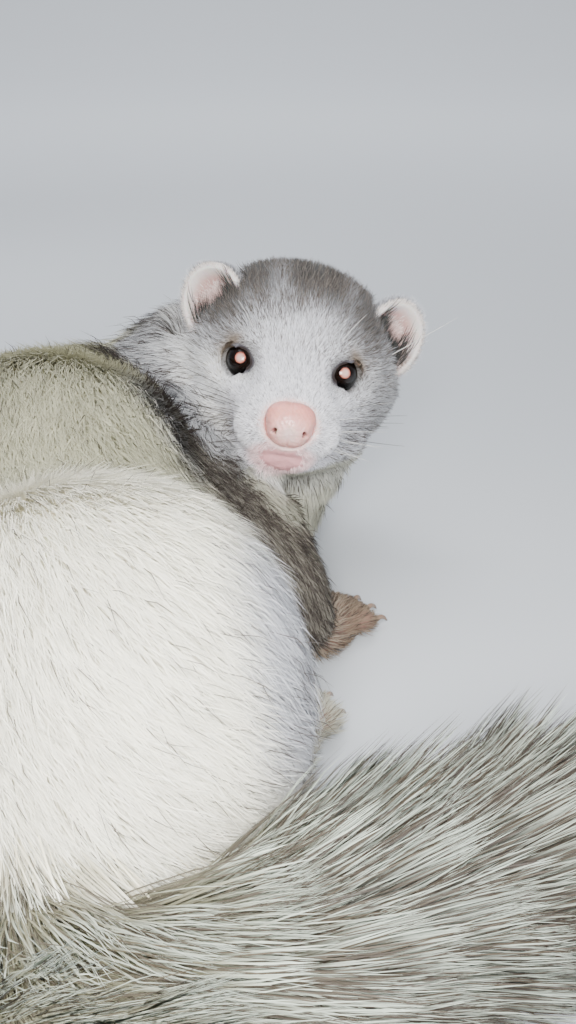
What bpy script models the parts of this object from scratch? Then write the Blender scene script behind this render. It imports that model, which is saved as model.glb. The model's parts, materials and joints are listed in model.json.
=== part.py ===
"""A life-size ferret that lies curled up, its head turned back to look over its own rump.

The animal rests on its belly and left hip. Its rump is at -Y, the body curls round by -X, and the
head at +Y looks back along -Y. The tail sweeps out to +X in front of the rump. The origin is on the
floor under the loin. Tables are in millimetres and become metres in the meshes.
"""

import math
import random

import bmesh
import bpy
import numpy as np
from mathutils import Matrix, Vector
from mathutils.bvhtree import BVHTree

MM = 0.001
GAP = 0.3  # what touching nodes keep between them
FLOOR = 0.0

# The body and the head are each fused at a voxel size, smoothed, and thinned to so many triangles.
BODY_VOXEL = 1.3
BODY_SMOOTHING = 8
BODY_TRIANGLES = 2600
HEAD_VOXEL = 0.8
HEAD_SMOOTHING = 4
HEAD_TRIANGLES = 2300

# The trunk along its centre line: x, y, z, half width, half height.
TRUNK = (
    (10, -88, 27, 6, 7),
    (11, -83, 29, 15, 16),
    (13, -70, 33, 28, 29),
    (15, -50, 35, 35, 36.5),
    (11, -33, 32.5, 31.5, 32),
    (5, -18, 29.5, 29, 28.5),
    (-1, -2, 31.5, 31.5, 33),
    (-6, 14, 34, 33.5, 35.5),
    (-8, 30, 32, 33, 32.5),
    (-6, 44, 30, 31.5, 30),
    (4, 58, 28, 29, 28),
    (18, 67, 26, 26, 27),
    (31, 70, 25, 20, 23),
    (40, 70, 25, 11, 15),
)
# The neck rises from the chest to the back of the skull: x, y, z, radius.
NECK = (
    (8, 58, 31, 22),
    (16, 66, 36, 24.5),
    (26, 73, 39.5, 24.5),
    (37, 76, 44, 22.5),
    (45, 72, 48, 20),
    (48, 64, 50, 15),
)
# Ellipsoids that round out the flesh: centre and radii.
BELLY = ((17, -6, 24), (24, 34, 23))
THIGH_RIGHT = ((24.5, -48, 29), (26.5, 33, 28))
THIGH_LEFT = ((-7, -52, 21), (24, 32, 21))
SHOULDER_RIGHT = ((20, 37, 31), (15, 18, 21))
BREAST = ((39, 52, 17), (17, 19, 18))
THROAT = ((47.5, 52, 32), (15.5, 18, 16))

# Limbs along their centre lines: x, y, z, radius.
ARM_RIGHT = ((20, 38, 33, 14), (32, 25, 29, 13), (42, 11, 23, 11), (48, 3, 15, 8.8), (51, 5, 8.5, 7))
ARM_LEFT = ((34, 62, 18, 11), (35, 48, 12, 9), (34, 38, 8, 7))
SHANK_RIGHT = ((37, -36, 20, 13.5), (40, -46, 13, 10), (41, -53, 8, 7.5))
SHANK_LEFT = ((12, -30, 14, 10), (22, -26, 9, 8.5), (28, -22, 7, 7))
# What is cut from the flesh as the hind legs: centre and radii.
HIND_RIGHT_REACH = ((31, -46, 28), (29, 38, 34))
HIND_LEFT_REACH = ((-14, -52, 17), (27, 34, 24))
ARM_REACH = 2.5  # how far the forelegs reach past their centre lines' radii

# Where the trunk is parted: a point in the cut and the way on from it.
LOIN_CUT = ((0, -20, 30), (-0.25, 0.97, 0))
CHEST_CUT = ((0, 8, 30), (-0.2, 0.98, 0))
NECK_CUT = ((25, 72, 36), (0.75, 0.1, 0.65))

# The head's own frame: x to the animal's right, y forward, z up, from midway between the eyes.
EYES_MIDDLE = (46.9, 44.4, 54.9)
HEAD_PITCH = 7.4
HEAD_ROLL = 8.8
HEAD_YAW = 1.0
# Sections of the skull and upper lip: y, half width, top, bottom.
SKULL = (
    (28.0, 4.5, -3.5, -10.5),
    (26.0, 7.4, -1.5, -13.0),
    (22.0, 10.0, 0.5, -15.0),
    (17.0, 11.8, 2.5, -16.5),
    (11.0, 14.0, 5.5, -18.0),
    (4.0, 18.0, 10.5, -20.5),
    (-4.0, 22.8, 15.5, -23.5),
    (-12.0, 27.2, 20.0, -25.5),
    (-20.0, 29.2, 22.4, -26.0),
    (-28.0, 28.0, 22.2, -25.0),
    (-36.0, 23.5, 18.8, -21.5),
    (-43.0, 16.5, 12.5, -15.5),
    (-47.0, 7.0, 5.0, -7.0),
)
CROWN_TAPER = 0.16  # how much narrower the crown is than the cheeks
# Sections of the lower jaw.
JAW = (
    (24.0, 3.0, -13.0, -16.8),
    (22.5, 5.8, -12.0, -18.4),
    (18.0, 8.8, -10.5, -20.4),
    (11.0, 12.6, -9.0, -23.0),
    (3.0, 17.4, -8.0, -25.6),
    (-6.0, 21.6, -8.0, -27.6),
    (-14.0, 19.0, -10.0, -26.0),
    (-20.0, 9.0, -13.0, -20.0),
)
ORBIT = ((18.8, 8.0, 2.4), (7.6, 10.0, 7.0))
WHISKER_PAD = ((6.2, 18.8, -9.4), (6.0, 7.0, 6.0))
# The line of the mouth: half width, how far forward, and drop at the front, the side and the corner.
MOUTH_HALF_WIDTH = 10.0
MOUTH_CORNER = 7.0
MOUTH_FRONT = 23.0
MOUTH_LEVELS = (-13.6, -15.2, -14.4)
MOUTH_OPEN = 0.7

EYE_CENTRE = (11.6, -1.8, 0.2)
EYE_RADIUS = 4.4
EYE_OUTWARD = 34.0  # degrees that the eye looks out from straight ahead
LID_THICKNESS = 0.9
LID_HALF_LENGTH = 3.5
LID_HALF_HEIGHT = 2.8
NOSE_CENTRE = (0, 26.6, -6.4)
NOSE_RADII = (5.4, 3.9, 4.8)
NOSTRIL = (3.0, 29.8, -8.0)
NOSTRIL_RADII = (1.0, 2.4, 1.3)

EAR_CENTRES = {1: (21.0, -19.0, 9.4), -1: (-25.8, -21.0, 7.0)}  # the right ear is cocked up
EAR_HALF_WIDTH = 9.8
EAR_HALF_HEIGHT = 11.2
EAR_DEPTH = 7.5
EAR_WALL = 1.7
EAR_OPENING = (0.42, 0.9, 0.08)  # the way the cup faces, out to its own side
EAR_RISE = (0.42, 0.05, 0.9)

# Paws: x, y of the palm's middle, heading from +X in degrees, palm radii, toe length, spread.
PAWS = {
    "forepaw_right": ((54, 11), 57, (9.5, 7.2, 5.4), 8, 4.4),
    "forepaw_left": ((34, 31), -66, (9.5, 7.2, 5.4), 8.5, 4.6),
    "hindpaw_right": ((43.5, -30.5), 70, (17.5, 6.8, 5.8), 9, 3.7),
    "hindpaw_left": ((29, -17), 66, (15, 6.8, 5.8), 8, 3.7),
}
PAW_TRIANGLES = 230
TOE_RADIUS = 2.3
CLAW_LENGTH = 5.0
CLAW_RADIUS = 1.0

# The tail's core: x, y, z, radius.
TAIL = (
    (10, -78, 28, 8),
    (12, -89, 26, 10),
    (21, -95, 23, 10.5),
    (36, -92, 20.5, 10.5),
    (60, -81, 19.5, 10),
    (90, -67, 18.5, 9),
    (114, -57.5, 17.5, 7),
    (130, -51.5, 16.5, 3.5),
)
TAIL_CUT = ((19, -94.6, 22.5), (0.93, -0.2, -0.3))  # where the root ends and the brush starts
# Locks of the brush. They stand out at the root and bend to lie along the tail.
LOCK_FIRST = 0.2  # share of the way along the tail
LOCK_RINGS = 10
LOCKS_ROUND = 7
LOCK_LENGTH = 30.0
LOCK_WIDTH = 9.6
LOCK_THICKNESS = 1.7
LOCK_SUNK = 3.5
LOCK_LEANS = (52, 38, 25, 12)  # degrees from the tail's line, from root to tip
LOCK_SHAPE = (0.72, 1.0, 0.66, 0.1)  # share of the width, from root to tip
LOCK_SEED = 11

CREAM = (0.84, 0.79, 0.62)
SILVER = (0.66, 0.64, 0.6)
BROWN = (0.24, 0.19, 0.15)
TAIL_BROWN = (0.42, 0.37, 0.29)
PINK = (0.8, 0.42, 0.38)
BARE = (0.62, 0.45, 0.38)
BLACK = (0.012, 0.008, 0.008)
LOOKS = {
    # the start of a node's name: colour and roughness
    "head": (SILVER, 0.9),
    "neck": (SILVER, 0.9),
    "chest": (CREAM, 0.9),
    "loin": (CREAM, 0.9),
    "rump": (CREAM, 0.9),
    "hindleg": (CREAM, 0.9),
    "foreleg": (BROWN, 0.9),
    "forepaw": (BARE, 0.7),
    "hindpaw": (BARE, 0.7),
    "tail": (TAIL_BROWN, 0.9),
    "ear": (BARE, 0.75),
    "nose": (PINK, 0.45),
    "eye": (BLACK, 0.08),
}


def colour(name, rgb, roughness):
    made = bpy.data.materials.new(name)
    made.use_nodes = True
    shader = made.node_tree.nodes["Principled BSDF"]
    shader.inputs["Base Color"].default_value = (*rgb, 1)
    shader.inputs["Roughness"].default_value = roughness
    return made


def clear_scene():
    for obj in list(bpy.data.objects):
        bpy.data.objects.remove(obj)


def between(rows, per_span):
    """The rows with Catmull-Rom rows put between them, as one array."""
    rows = np.array(rows, float)
    ends = np.vstack([2 * rows[0] - rows[1], rows, 2 * rows[-1] - rows[-2]])
    made = []
    for a, b, c, d in zip(ends, ends[1:], ends[2:], ends[3:]):
        for t in np.arange(per_span) / per_span:
            made.append(
                0.5 * (2 * b + (c - a) * t + (2 * a - 5 * b + 4 * c - d) * t**2 + (3 * b - a - 3 * c + d) * t**3)
            )
    return np.array([*made, rows[-1]])


def mesh_object(name, points, faces, matrix=None):
    """An object from points in millimetres, in the frame of matrix."""
    mesh = bpy.data.meshes.new(name)
    mesh.from_pydata([Vector(p) * MM for p in points], [], faces)
    if matrix is not None:
        mesh.transform(matrix)
    tidy = bmesh.new()
    tidy.from_mesh(mesh)
    bmesh.ops.recalc_face_normals(tidy, faces=tidy.faces)
    tidy.to_mesh(mesh)
    tidy.free()
    obj = bpy.data.objects.new(name, mesh)
    bpy.context.scene.collection.objects.link(obj)
    return obj


def loft(name, rings, matrix=None):
    """A closed skin over rings of the same number of points, with a fan at each end."""
    rings = np.array(rings, float)
    count, sides = rings.shape[:2]
    points = [*rings.reshape(-1, 3), rings[0].mean(0), rings[-1].mean(0)]
    faces = []
    for i in range(count - 1):
        for j in range(sides):
            k = (j + 1) % sides
            faces.append((i * sides + j, i * sides + k, (i + 1) * sides + k, (i + 1) * sides + j))
    for j in range(sides):
        k = (j + 1) % sides
        faces.append((count * sides, k, j))
        faces.append((count * sides + 1, (count - 1) * sides + j, (count - 1) * sides + k))
    return mesh_object(name, points, faces, matrix)


def directions(line):
    along = np.gradient(line, axis=0)
    return along / np.linalg.norm(along, axis=1)[:, None]


def tube_rings(rows, sides=20, per_span=4, flat=1.0):
    """Round rings along a line of x, y, z and radius. flat under 1 makes them lower than wide."""
    rows = between(rows, per_span)
    rings = []
    for centre, along, radius in zip(rows[:, :3], directions(rows[:, :3]), rows[:, 3]):
        side = np.cross(along, (0, 0, 1))
        side /= np.linalg.norm(side)
        up = np.cross(side, along)
        turns = np.arange(sides) * 2 * math.pi / sides
        rings.append([centre + radius * (math.cos(a) * side + flat * math.sin(a) * up) for a in turns])
    return rings


def trunk_rings(sides=40, per_span=4):
    """Upright rings along the trunk, with a full belly that settles on the floor."""
    rows = between(TRUNK, per_span)
    rings = []
    for row, along in zip(rows, directions(rows[:, :3])):
        side = np.array([along[1], -along[0], 0.0])
        side /= np.linalg.norm(side)
        ring = []
        for a in np.arange(sides) * 2 * math.pi / sides:
            out, rise = math.cos(a), math.sin(a)
            if rise < 0:
                out = math.copysign(abs(out) ** 0.8, out)
                rise *= 1.06
            ring.append(row[:3] + side * row[3] * out + np.array([0, 0, row[4] * rise]))
        rings.append(ring)
    return rings


def head_matrix():
    """The head's frame in the part's frame: columns right, forward and up."""
    pitch, roll, yaw = (math.radians(a) for a in (HEAD_PITCH, HEAD_ROLL, HEAD_YAW))
    turn = Matrix.Rotation(math.pi + yaw, 4, "Z")
    return (
        Matrix.Translation(Vector(EYES_MIDDLE) * MM)
        @ turn
        @ Matrix.Rotation(pitch, 4, "X")
        @ Matrix.Rotation(-roll, 4, "Y")
    )


def section_rings(rows, sides=40, per_span=3, power=2.2, taper=0.0):
    """Upright rings across the head from rows of y, half width, top and bottom, narrowed to the top."""
    rings = []
    for y, wide, top, bottom in between(rows, per_span):
        middle, high = (top + bottom) / 2, (top - bottom) / 2
        ring = []
        for a in np.arange(sides) * 2 * math.pi / sides:
            out = math.copysign(abs(math.cos(a)) ** (2 / power), math.cos(a))
            rise = math.copysign(abs(math.sin(a)) ** (2 / power), math.sin(a))
            narrow = 1 - taper * max(rise, 0) * min(max(-y / 12, 0), 1)
            ring.append((wide * narrow * out, y, middle + high * rise))
        rings.append(ring)
    return rings


def ellipsoid(name, centre, radii, matrix=None, grow=0.0, segments=28, rings=18):
    """A closed ellipsoid. grow is added to each radius."""
    mesh = bmesh.new()
    bmesh.ops.create_uvsphere(mesh, u_segments=segments, v_segments=rings, radius=1)
    points = [Vector([c + (r + grow) * v for c, r, v in zip(centre, radii, p.co)]) for p in mesh.verts]
    faces = [[v.index for v in f.verts] for f in mesh.faces]
    mesh.free()
    return mesh_object(name, points, faces, matrix)


def mirrored(centre, side):
    return (centre[0] * side, *centre[1:])


def baked(obj):
    """The object with its modifiers applied."""
    graph = bpy.context.evaluated_depsgraph_get()
    mesh = bpy.data.meshes.new_from_object(obj.evaluated_get(graph))
    obj.modifiers.clear()
    obj.data = mesh
    return obj


def boolean(obj, other, operation, solver="EXACT"):
    """obj joined to, cut by or kept inside other, which is then removed."""
    step = obj.modifiers.new(operation.lower(), "BOOLEAN")
    step.operation = operation
    step.solver = solver
    step.object = other
    baked(obj)
    bpy.data.objects.remove(other)
    return obj


def union(obj, others, solver="EXACT"):
    """obj joined with the other closed pieces in one step."""
    pieces = bpy.data.collections.new(obj.name + "_pieces")
    for other in others:
        bpy.context.scene.collection.objects.unlink(other)
        pieces.objects.link(other)
    step = obj.modifiers.new("union", "BOOLEAN")
    step.operation = "UNION"
    step.operand_type = "COLLECTION"
    step.collection = pieces
    step.solver = solver
    baked(obj)
    for other in others:
        bpy.data.objects.remove(other)
    bpy.data.collections.remove(pieces)
    return obj


def largest(obj):
    """The object with only its largest closed surface left."""
    mesh = bmesh.new()
    mesh.from_mesh(obj.data)
    bmesh.ops.triangulate(mesh, faces=mesh.faces)
    left, shells = set(mesh.verts), []
    while left:
        shell, edge = set(), [left.pop()]
        while edge:
            vert = edge.pop()
            shell.add(vert)
            for link in vert.link_edges:
                other = link.other_vert(vert)
                if other in left:
                    left.discard(other)
                    edge.append(other)
        shells.append(shell)
    shells.sort(key=lambda s: len(s))
    for shell in shells[:-1]:
        bmesh.ops.delete(mesh, geom=list(shell), context="VERTS")
    mesh.to_mesh(obj.data)
    mesh.free()
    return obj


def copied(obj, name):
    other = bpy.data.objects.new(name, obj.data.copy())
    bpy.context.scene.collection.objects.link(other)
    return other


def thinned(obj, triangles):
    step = obj.modifiers.new("thin", "DECIMATE")
    step.ratio = min(1.0, triangles / (2 * len(obj.data.polygons)))
    step.use_collapse_triangulate = True
    return baked(obj)


def fused(pieces, voxel, smoothing):
    """The pieces as one smooth closed skin."""
    skin = pieces[0]
    with bpy.context.temp_override(active_object=skin, selected_editable_objects=pieces):
        bpy.ops.object.join()
    step = skin.modifiers.new("fuse", "REMESH")
    step.mode = "VOXEL"
    step.voxel_size = voxel * MM
    soft = skin.modifiers.new("soften", "SMOOTH")
    soft.factor = 0.5
    soft.iterations = smoothing
    return largest(baked(skin))


def grown(obj, by=GAP):
    """A copy of the object with its surface moved out."""
    other = copied(obj, obj.name + "_grown")
    step = other.modifiers.new("grow", "DISPLACE")
    step.mid_level = 0
    step.strength = by * MM
    return baked(other)


def block(name, point, onward, reach, half):
    """A block that starts at a point and reaches onward."""
    x = Vector(onward).normalized()
    y = x.orthogonal().normalized()
    z = x.cross(y)
    corners = [
        Vector(point) + x * a + y * b + z * c for a in (0, reach) for b in (-half, half) for c in (-half, half)
    ]
    faces = [(0, 1, 3, 2), (4, 6, 7, 5), (0, 4, 5, 1), (2, 3, 7, 6), (0, 2, 6, 4), (1, 5, 7, 3)]
    return mesh_object(name, corners, faces)


def above_floor(obj):
    return boolean(obj, block("below", (0, 0, -60), (0, 0, 1), 60 + FLOOR, 400), "DIFFERENCE")


def carved(flesh, name, region, wider):
    """The flesh inside a region as a node. The flesh keeps clear of the wider region."""
    node = copied(flesh, name)
    boolean(node, region, "INTERSECT")
    boolean(flesh, wider, "DIFFERENCE")
    largest(flesh)
    return largest(node)


def carved_block(flesh, name, cut, half=70):
    point, onward = Vector(cut[0]), Vector(cut[1]).normalized()
    region = block("region", point + onward * GAP / 2, onward, 120, half)
    wider = block("wider", point - onward * GAP / 2, onward, 120, half)
    return carved(flesh, name, region, wider)


def carved_ellipsoid(flesh, name, centre, radii):
    region = ellipsoid("region", centre, radii, segments=18, rings=10)
    wider = ellipsoid("wider", centre, radii, grow=GAP, segments=18, rings=10)
    return carved(flesh, name, region, wider)


def carved_limb(flesh, name, line):
    region = loft("region", tube_rings([(*row[:3], row[3] + ARM_REACH) for row in line], 14, 2))
    wider = loft("wider", tube_rings([(*row[:3], row[3] + ARM_REACH + GAP) for row in line], 14, 2))
    return carved(flesh, name, region, wider)


def body_flesh():
    """Trunk, neck and limbs as one skin that rests on the floor."""
    pieces = [
        loft("trunk", trunk_rings()),
        loft("neck", tube_rings(NECK, 28)),
        *(ellipsoid("lump", *lump) for lump in (BELLY, THIGH_RIGHT, THIGH_LEFT, SHOULDER_RIGHT, BREAST, THROAT)),
        *(loft("limb", tube_rings(limb)) for limb in (ARM_RIGHT, ARM_LEFT, SHANK_RIGHT, SHANK_LEFT)),
    ]
    flesh = fused(pieces, BODY_VOXEL, BODY_SMOOTHING)
    return above_floor(thinned(flesh, BODY_TRIANGLES))


def mouth_cutter(frame):
    """A thin shelf round the muzzle that opens the line between the lips."""
    rings = []
    for t in np.linspace(-1, 1, 17):
        a = t * math.pi / 2
        bend = abs(t)
        level = np.interp(bend, (0, 0.5, 1), MOUTH_LEVELS)
        ring = []
        for reach, rise in ((0, -0.5), (6, -0.5), (6, 0.5), (0, 0.5)):
            out = (MOUTH_HALF_WIDTH - 1.8 + reach) * math.sin(a)
            ahead = MOUTH_CORNER + (MOUTH_FRONT - 1.8 - MOUTH_CORNER + reach) * math.cos(a) ** 0.7
            ring.append((out, ahead, level + rise * MOUTH_OPEN))
        rings.append(ring)
    return loft("mouth", rings, frame)


def eye_frame(side):
    """A frame at the eye's middle whose y looks out of the eye."""
    place = Matrix.Translation(Vector(mirrored(EYE_CENTRE, side)) * MM)
    return head_matrix() @ place @ Matrix.Rotation(-side * math.radians(EYE_OUTWARD), 4, "Z")


def lid_opening(side):
    """An almond-shaped prism that opens the lids."""
    rings = []
    for y in (2.0, 12.0):
        ring = []
        for a in np.arange(14) * 2 * math.pi / 14:
            high = math.copysign(abs(math.sin(a)) ** 1.25, math.sin(a))
            ring.append((LID_HALF_LENGTH * math.cos(a), y, LID_HALF_HEIGHT * high - 0.1))
        rings.append(ring)
    return loft("opening", rings, eye_frame(side))


def ball(name, radius, frame, segments=28, rings=18):
    return ellipsoid(name, (0, 0, 0), (radius,) * 3, frame, segments=segments, rings=rings)


def make_head():
    """Skull, jaw and whisker pads with lids over the eyes and the line of the mouth."""
    frame = head_matrix()
    skull = loft("skull", section_rings(SKULL, taper=CROWN_TAPER), frame)
    pieces = [skull, loft("jaw", section_rings(JAW, power=2.0), frame)]
    for side in (1, -1):
        boolean(skull, ellipsoid("orbit", mirrored(ORBIT[0], side), ORBIT[1], frame), "DIFFERENCE")
        pieces.append(ellipsoid("pad", mirrored(WHISKER_PAD[0], side), WHISKER_PAD[1], frame))
    head = thinned(fused(pieces, HEAD_VOXEL, HEAD_SMOOTHING), HEAD_TRIANGLES)
    head.name = "head"
    for side in (1, -1):
        around = eye_frame(side)
        boolean(head, ball("lid", EYE_RADIUS + GAP + LID_THICKNESS, around, 18, 11), "UNION")
        boolean(head, ball("socket", EYE_RADIUS + GAP, around, 16, 10), "DIFFERENCE")
        boolean(head, lid_opening(side), "DIFFERENCE")
    boolean(head, mouth_cutter(frame), "DIFFERENCE")
    return largest(head)


def make_nose():
    """The bare pad with its two nostrils."""
    frame = head_matrix()
    nose = ellipsoid("nose", NOSE_CENTRE, NOSE_RADII, frame, segments=16, rings=10)
    for side in (1, -1):
        nostril = ellipsoid("nostril", mirrored(NOSTRIL, side), NOSTRIL_RADII, frame, segments=8, rings=6)
        boolean(nose, nostril, "DIFFERENCE")
    return largest(nose)


def ear_frame(side):
    """A frame at the ear's mouth: x across, y out of the cup, z up the ear."""
    ahead = Vector(mirrored(EAR_OPENING, side)).normalized()
    rise = Vector(mirrored(EAR_RISE, side))
    rise = (rise - ahead * rise.dot(ahead)).normalized()
    turn = Matrix((ahead.cross(rise), ahead, rise)).transposed().to_4x4()
    return head_matrix() @ Matrix.Translation(Vector(EAR_CENTRES[side]) * MM) @ turn


def make_ear(name, side):
    """A rounded cup with a thick rim."""
    slopes = (15, 40, 65, 84)
    walls = [(a, 0.0) for a in slopes] + [(a, EAR_WALL) for a in reversed(slopes)]
    rings = []
    for slope, inset in walls:
        wide = (EAR_HALF_WIDTH - inset) * math.sin(math.radians(slope))
        high = (EAR_HALF_HEIGHT - inset) * math.sin(math.radians(slope))
        deep = (EAR_DEPTH - inset) * math.cos(math.radians(slope))
        turns = np.arange(18) * 2 * math.pi / 18
        rings.append([(wide * math.cos(a), -deep, high * math.sin(a)) for a in turns])
    return loft(name, rings, ear_frame(side))


def ear_seat(side):
    """The space that the cup and its mouth take in the head."""
    radii = (EAR_HALF_WIDTH + GAP, EAR_DEPTH + GAP, EAR_HALF_HEIGHT + GAP)
    return ellipsoid("seat", (0, 0, 0), radii, ear_frame(side), segments=18, rings=10)


def make_paw(name):
    """A palm on the floor with five toes and their claws."""
    (x, y), heading, palm, toe, spread = PAWS[name]
    frame = Matrix.Translation(Vector((x, y, 0)) * MM) @ Matrix.Rotation(math.radians(heading), 4, "Z")
    pieces = [ellipsoid(name, (0, 0, palm[2] - 0.9), palm, frame)]
    claws = []
    for k in range(-2, 3):
        length = toe * (1 - 0.09 * abs(k) ** 1.5)
        lean = math.radians(9 * k)
        start = Vector((palm[0] * (0.62 - 0.05 * k * k), spread * 0.72 * k, 3.6))
        way = Vector((math.cos(lean), math.sin(lean), 0))
        rows = [(start, TOE_RADIUS), (start + way * length * 0.55 + Vector((0, 0, 0.9)), TOE_RADIUS)]
        rows.append((start + way * length - Vector((0, 0, 1.2)), TOE_RADIUS * 0.8))
        pieces.append(loft("toe", tube_rings([(*p, r) for p, r in rows], 10, 2), frame))
        tip = start + way * (length + 0.6)
        tip.z = 2.5
        end = tip + way * CLAW_LENGTH
        end.z = 0.9
        middle = (tip + end) / 2 + Vector((0, 0, 0.7))
        rows = [(tip - way, CLAW_RADIUS), (middle, CLAW_RADIUS * 0.8), (end, 0.3)]
        claws.append(loft("claw", tube_rings([(*p, r) for p, r in rows], 6, 1), frame))
    paw = thinned(fused(pieces, 0.8, 2), PAW_TRIANGLES)
    return above_floor(largest(union(paw, claws)))


def along_tail(share):
    """Centre, direction and radius of the tail's core at a share of its length."""
    line = between(TAIL, 6)
    steps = np.linalg.norm(np.diff(line[:, :3], axis=0), axis=1)
    reach = np.concatenate([[0], np.cumsum(steps)]) / steps.sum()
    x, y, z, radius = (np.interp(share, reach, line[:, k]) for k in range(4))
    way = [np.interp(share, reach, column) for column in directions(line[:, :3]).T]
    return Vector((x, y, z)), Vector(way).normalized(), radius


def lock_rings(share, turn, chance, flatter):
    """Four-sided rings of one flat lock, kept above the floor."""
    centre, way, radius = along_tail(share)
    level = way.cross((0, 0, 1)).normalized()
    out = level * math.cos(turn) + level.cross(way) * math.sin(turn)
    side = way.cross(out)
    grown_in = min(1.0, 0.62 + 2.2 * (share - LOCK_FIRST))
    length = LOCK_LENGTH * grown_in * chance.uniform(0.88, 1.1)
    width = LOCK_WIDTH * min(1.0, 0.35 + 0.08 * radius) * chance.uniform(0.88, 1.1)
    sway = chance.uniform(-0.16, 0.16)
    point = centre + out * (radius - LOCK_SUNK)
    rings = []
    for k, (lean, broad) in enumerate(zip(LOCK_LEANS, LOCK_SHAPE)):
        lean = math.radians(lean * flatter)
        ahead = (way * math.cos(lean) + out * math.sin(lean) + side * sway).normalized()
        if k:
            point = point + ahead * length / (len(LOCK_LEANS) - 1)
        normal = ahead.cross(side).normalized()
        half, thick = width * broad / 2, LOCK_THICKNESS * max(broad, 0.4) / 2
        lowest = FLOOR + 0.4 + abs(side.z) * half + abs(normal.z) * thick
        point.z = max(point.z, lowest) if k else point.z
        rings.append([point + side * half, point + normal * thick, point - side * half, point - normal * thick])
    return rings


def clear_of(tree, rings):
    """Whether a lock, past its root, stays clear of the body."""
    for ring in rings[1:]:
        for corner in ring:
            near, normal, _, distance = tree.find_nearest(corner * MM)
            if distance < 1.5 * GAP * MM or (corner * MM - near).dot(normal) < 0:
                return False
    return True


def make_tail(body):
    """The tail's core, sunk in the body, with flat overlapping locks that keep clear of it."""
    tail = loft("tail_base", tube_rings(TAIL, 16, 2))
    boolean(body, grown(tail), "DIFFERENCE")
    chance = random.Random(LOCK_SEED)
    tree = BVHTree.FromPolygons([v.co for v in body.data.vertices], [p.vertices for p in body.data.polygons])
    locks = []
    for i in range(LOCK_RINGS):
        share = LOCK_FIRST + (0.97 - LOCK_FIRST) * i / (LOCK_RINGS - 1)
        for k in range(LOCKS_ROUND):
            turn = 2 * math.pi * (k + 0.5 * (i % 2) + chance.uniform(-0.12, 0.12)) / LOCKS_ROUND
            for flatter in (1.0, 0.75, 0.5, 0.3):
                rings = lock_rings(share + chance.uniform(-0.008, 0.008), turn, chance, flatter)
                if clear_of(tree, rings):
                    locks.append(loft("lock", rings))
                    break
    return largest(union(tail, locks))


def finish(obj):
    """The node with its own material, shaded smooth."""
    rgb, roughness = LOOKS[obj.name.split("_")[0]]
    obj.data.materials.clear()
    obj.data.materials.append(colour(obj.name, rgb, roughness))
    for face in obj.data.polygons:
        face.use_smooth = True


def main():
    clear_scene()
    flesh = body_flesh()
    head = make_head()
    nose = make_nose()
    boolean(head, grown(nose), "DIFFERENCE")
    boolean(flesh, grown(head), "DIFFERENCE")
    for name, side in (("ear_right", 1), ("ear_left", -1)):
        make_ear(name, side)
        for other in (head, flesh):
            largest(boolean(other, ear_seat(side), "DIFFERENCE"))
        ball(name.replace("ear", "eye"), EYE_RADIUS, eye_frame(side), 16, 10)
    for name in PAWS:
        boolean(flesh, grown(make_paw(name)), "DIFFERENCE")
    tail = make_tail(flesh)
    carved_block(tail, "tail_brush", TAIL_CUT)
    carved_ellipsoid(flesh, "hindleg_right", *HIND_RIGHT_REACH)
    carved_ellipsoid(flesh, "hindleg_left", *HIND_LEFT_REACH)
    carved_limb(flesh, "foreleg_right", ARM_RIGHT)
    carved_limb(flesh, "foreleg_left", ARM_LEFT)
    carved_block(flesh, "neck", NECK_CUT, 58)
    carved_block(flesh, "chest", CHEST_CUT)
    carved_block(flesh, "loin", LOIN_CUT)
    flesh.name = "rump"
    for obj in bpy.data.objects:
        finish(obj)


main()
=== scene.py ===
"""The ferret dressed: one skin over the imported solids, its coat, and its eyes, nose, ears and claws.

Points and lengths are in millimetres until a mesh is made from them.
"""

import json
import math

import bmesh
import bpy
import numpy as np
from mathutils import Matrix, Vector
from mathutils.bvhtree import BVHTree
from mathutils.kdtree import KDTree

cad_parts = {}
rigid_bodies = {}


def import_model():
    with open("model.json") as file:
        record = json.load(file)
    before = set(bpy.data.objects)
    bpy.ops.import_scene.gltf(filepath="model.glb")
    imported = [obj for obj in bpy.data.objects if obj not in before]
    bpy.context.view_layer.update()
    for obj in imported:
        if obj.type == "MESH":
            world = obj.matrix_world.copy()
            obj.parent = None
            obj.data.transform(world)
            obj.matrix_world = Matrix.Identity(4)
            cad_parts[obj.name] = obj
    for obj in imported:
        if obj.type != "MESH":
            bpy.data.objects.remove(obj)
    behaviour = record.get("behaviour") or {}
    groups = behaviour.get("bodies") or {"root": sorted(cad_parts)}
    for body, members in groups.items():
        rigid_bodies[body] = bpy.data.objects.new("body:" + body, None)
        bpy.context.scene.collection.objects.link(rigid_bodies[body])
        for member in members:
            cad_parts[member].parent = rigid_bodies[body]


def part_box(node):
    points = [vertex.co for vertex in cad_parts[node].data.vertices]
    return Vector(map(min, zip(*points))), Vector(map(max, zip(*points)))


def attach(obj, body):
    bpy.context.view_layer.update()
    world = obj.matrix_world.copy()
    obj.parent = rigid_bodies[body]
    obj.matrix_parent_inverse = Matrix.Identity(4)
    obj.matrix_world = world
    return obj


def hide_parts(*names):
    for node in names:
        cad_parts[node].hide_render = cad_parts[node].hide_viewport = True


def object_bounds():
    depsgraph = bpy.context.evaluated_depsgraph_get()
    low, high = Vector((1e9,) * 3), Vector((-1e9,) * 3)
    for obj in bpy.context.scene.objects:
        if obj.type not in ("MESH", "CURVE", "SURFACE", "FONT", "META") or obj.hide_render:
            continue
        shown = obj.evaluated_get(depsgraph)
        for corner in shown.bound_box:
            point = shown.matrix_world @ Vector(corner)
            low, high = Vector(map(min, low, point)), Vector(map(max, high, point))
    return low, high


MM = 0.001
chance = np.random.default_rng(20)

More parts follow.
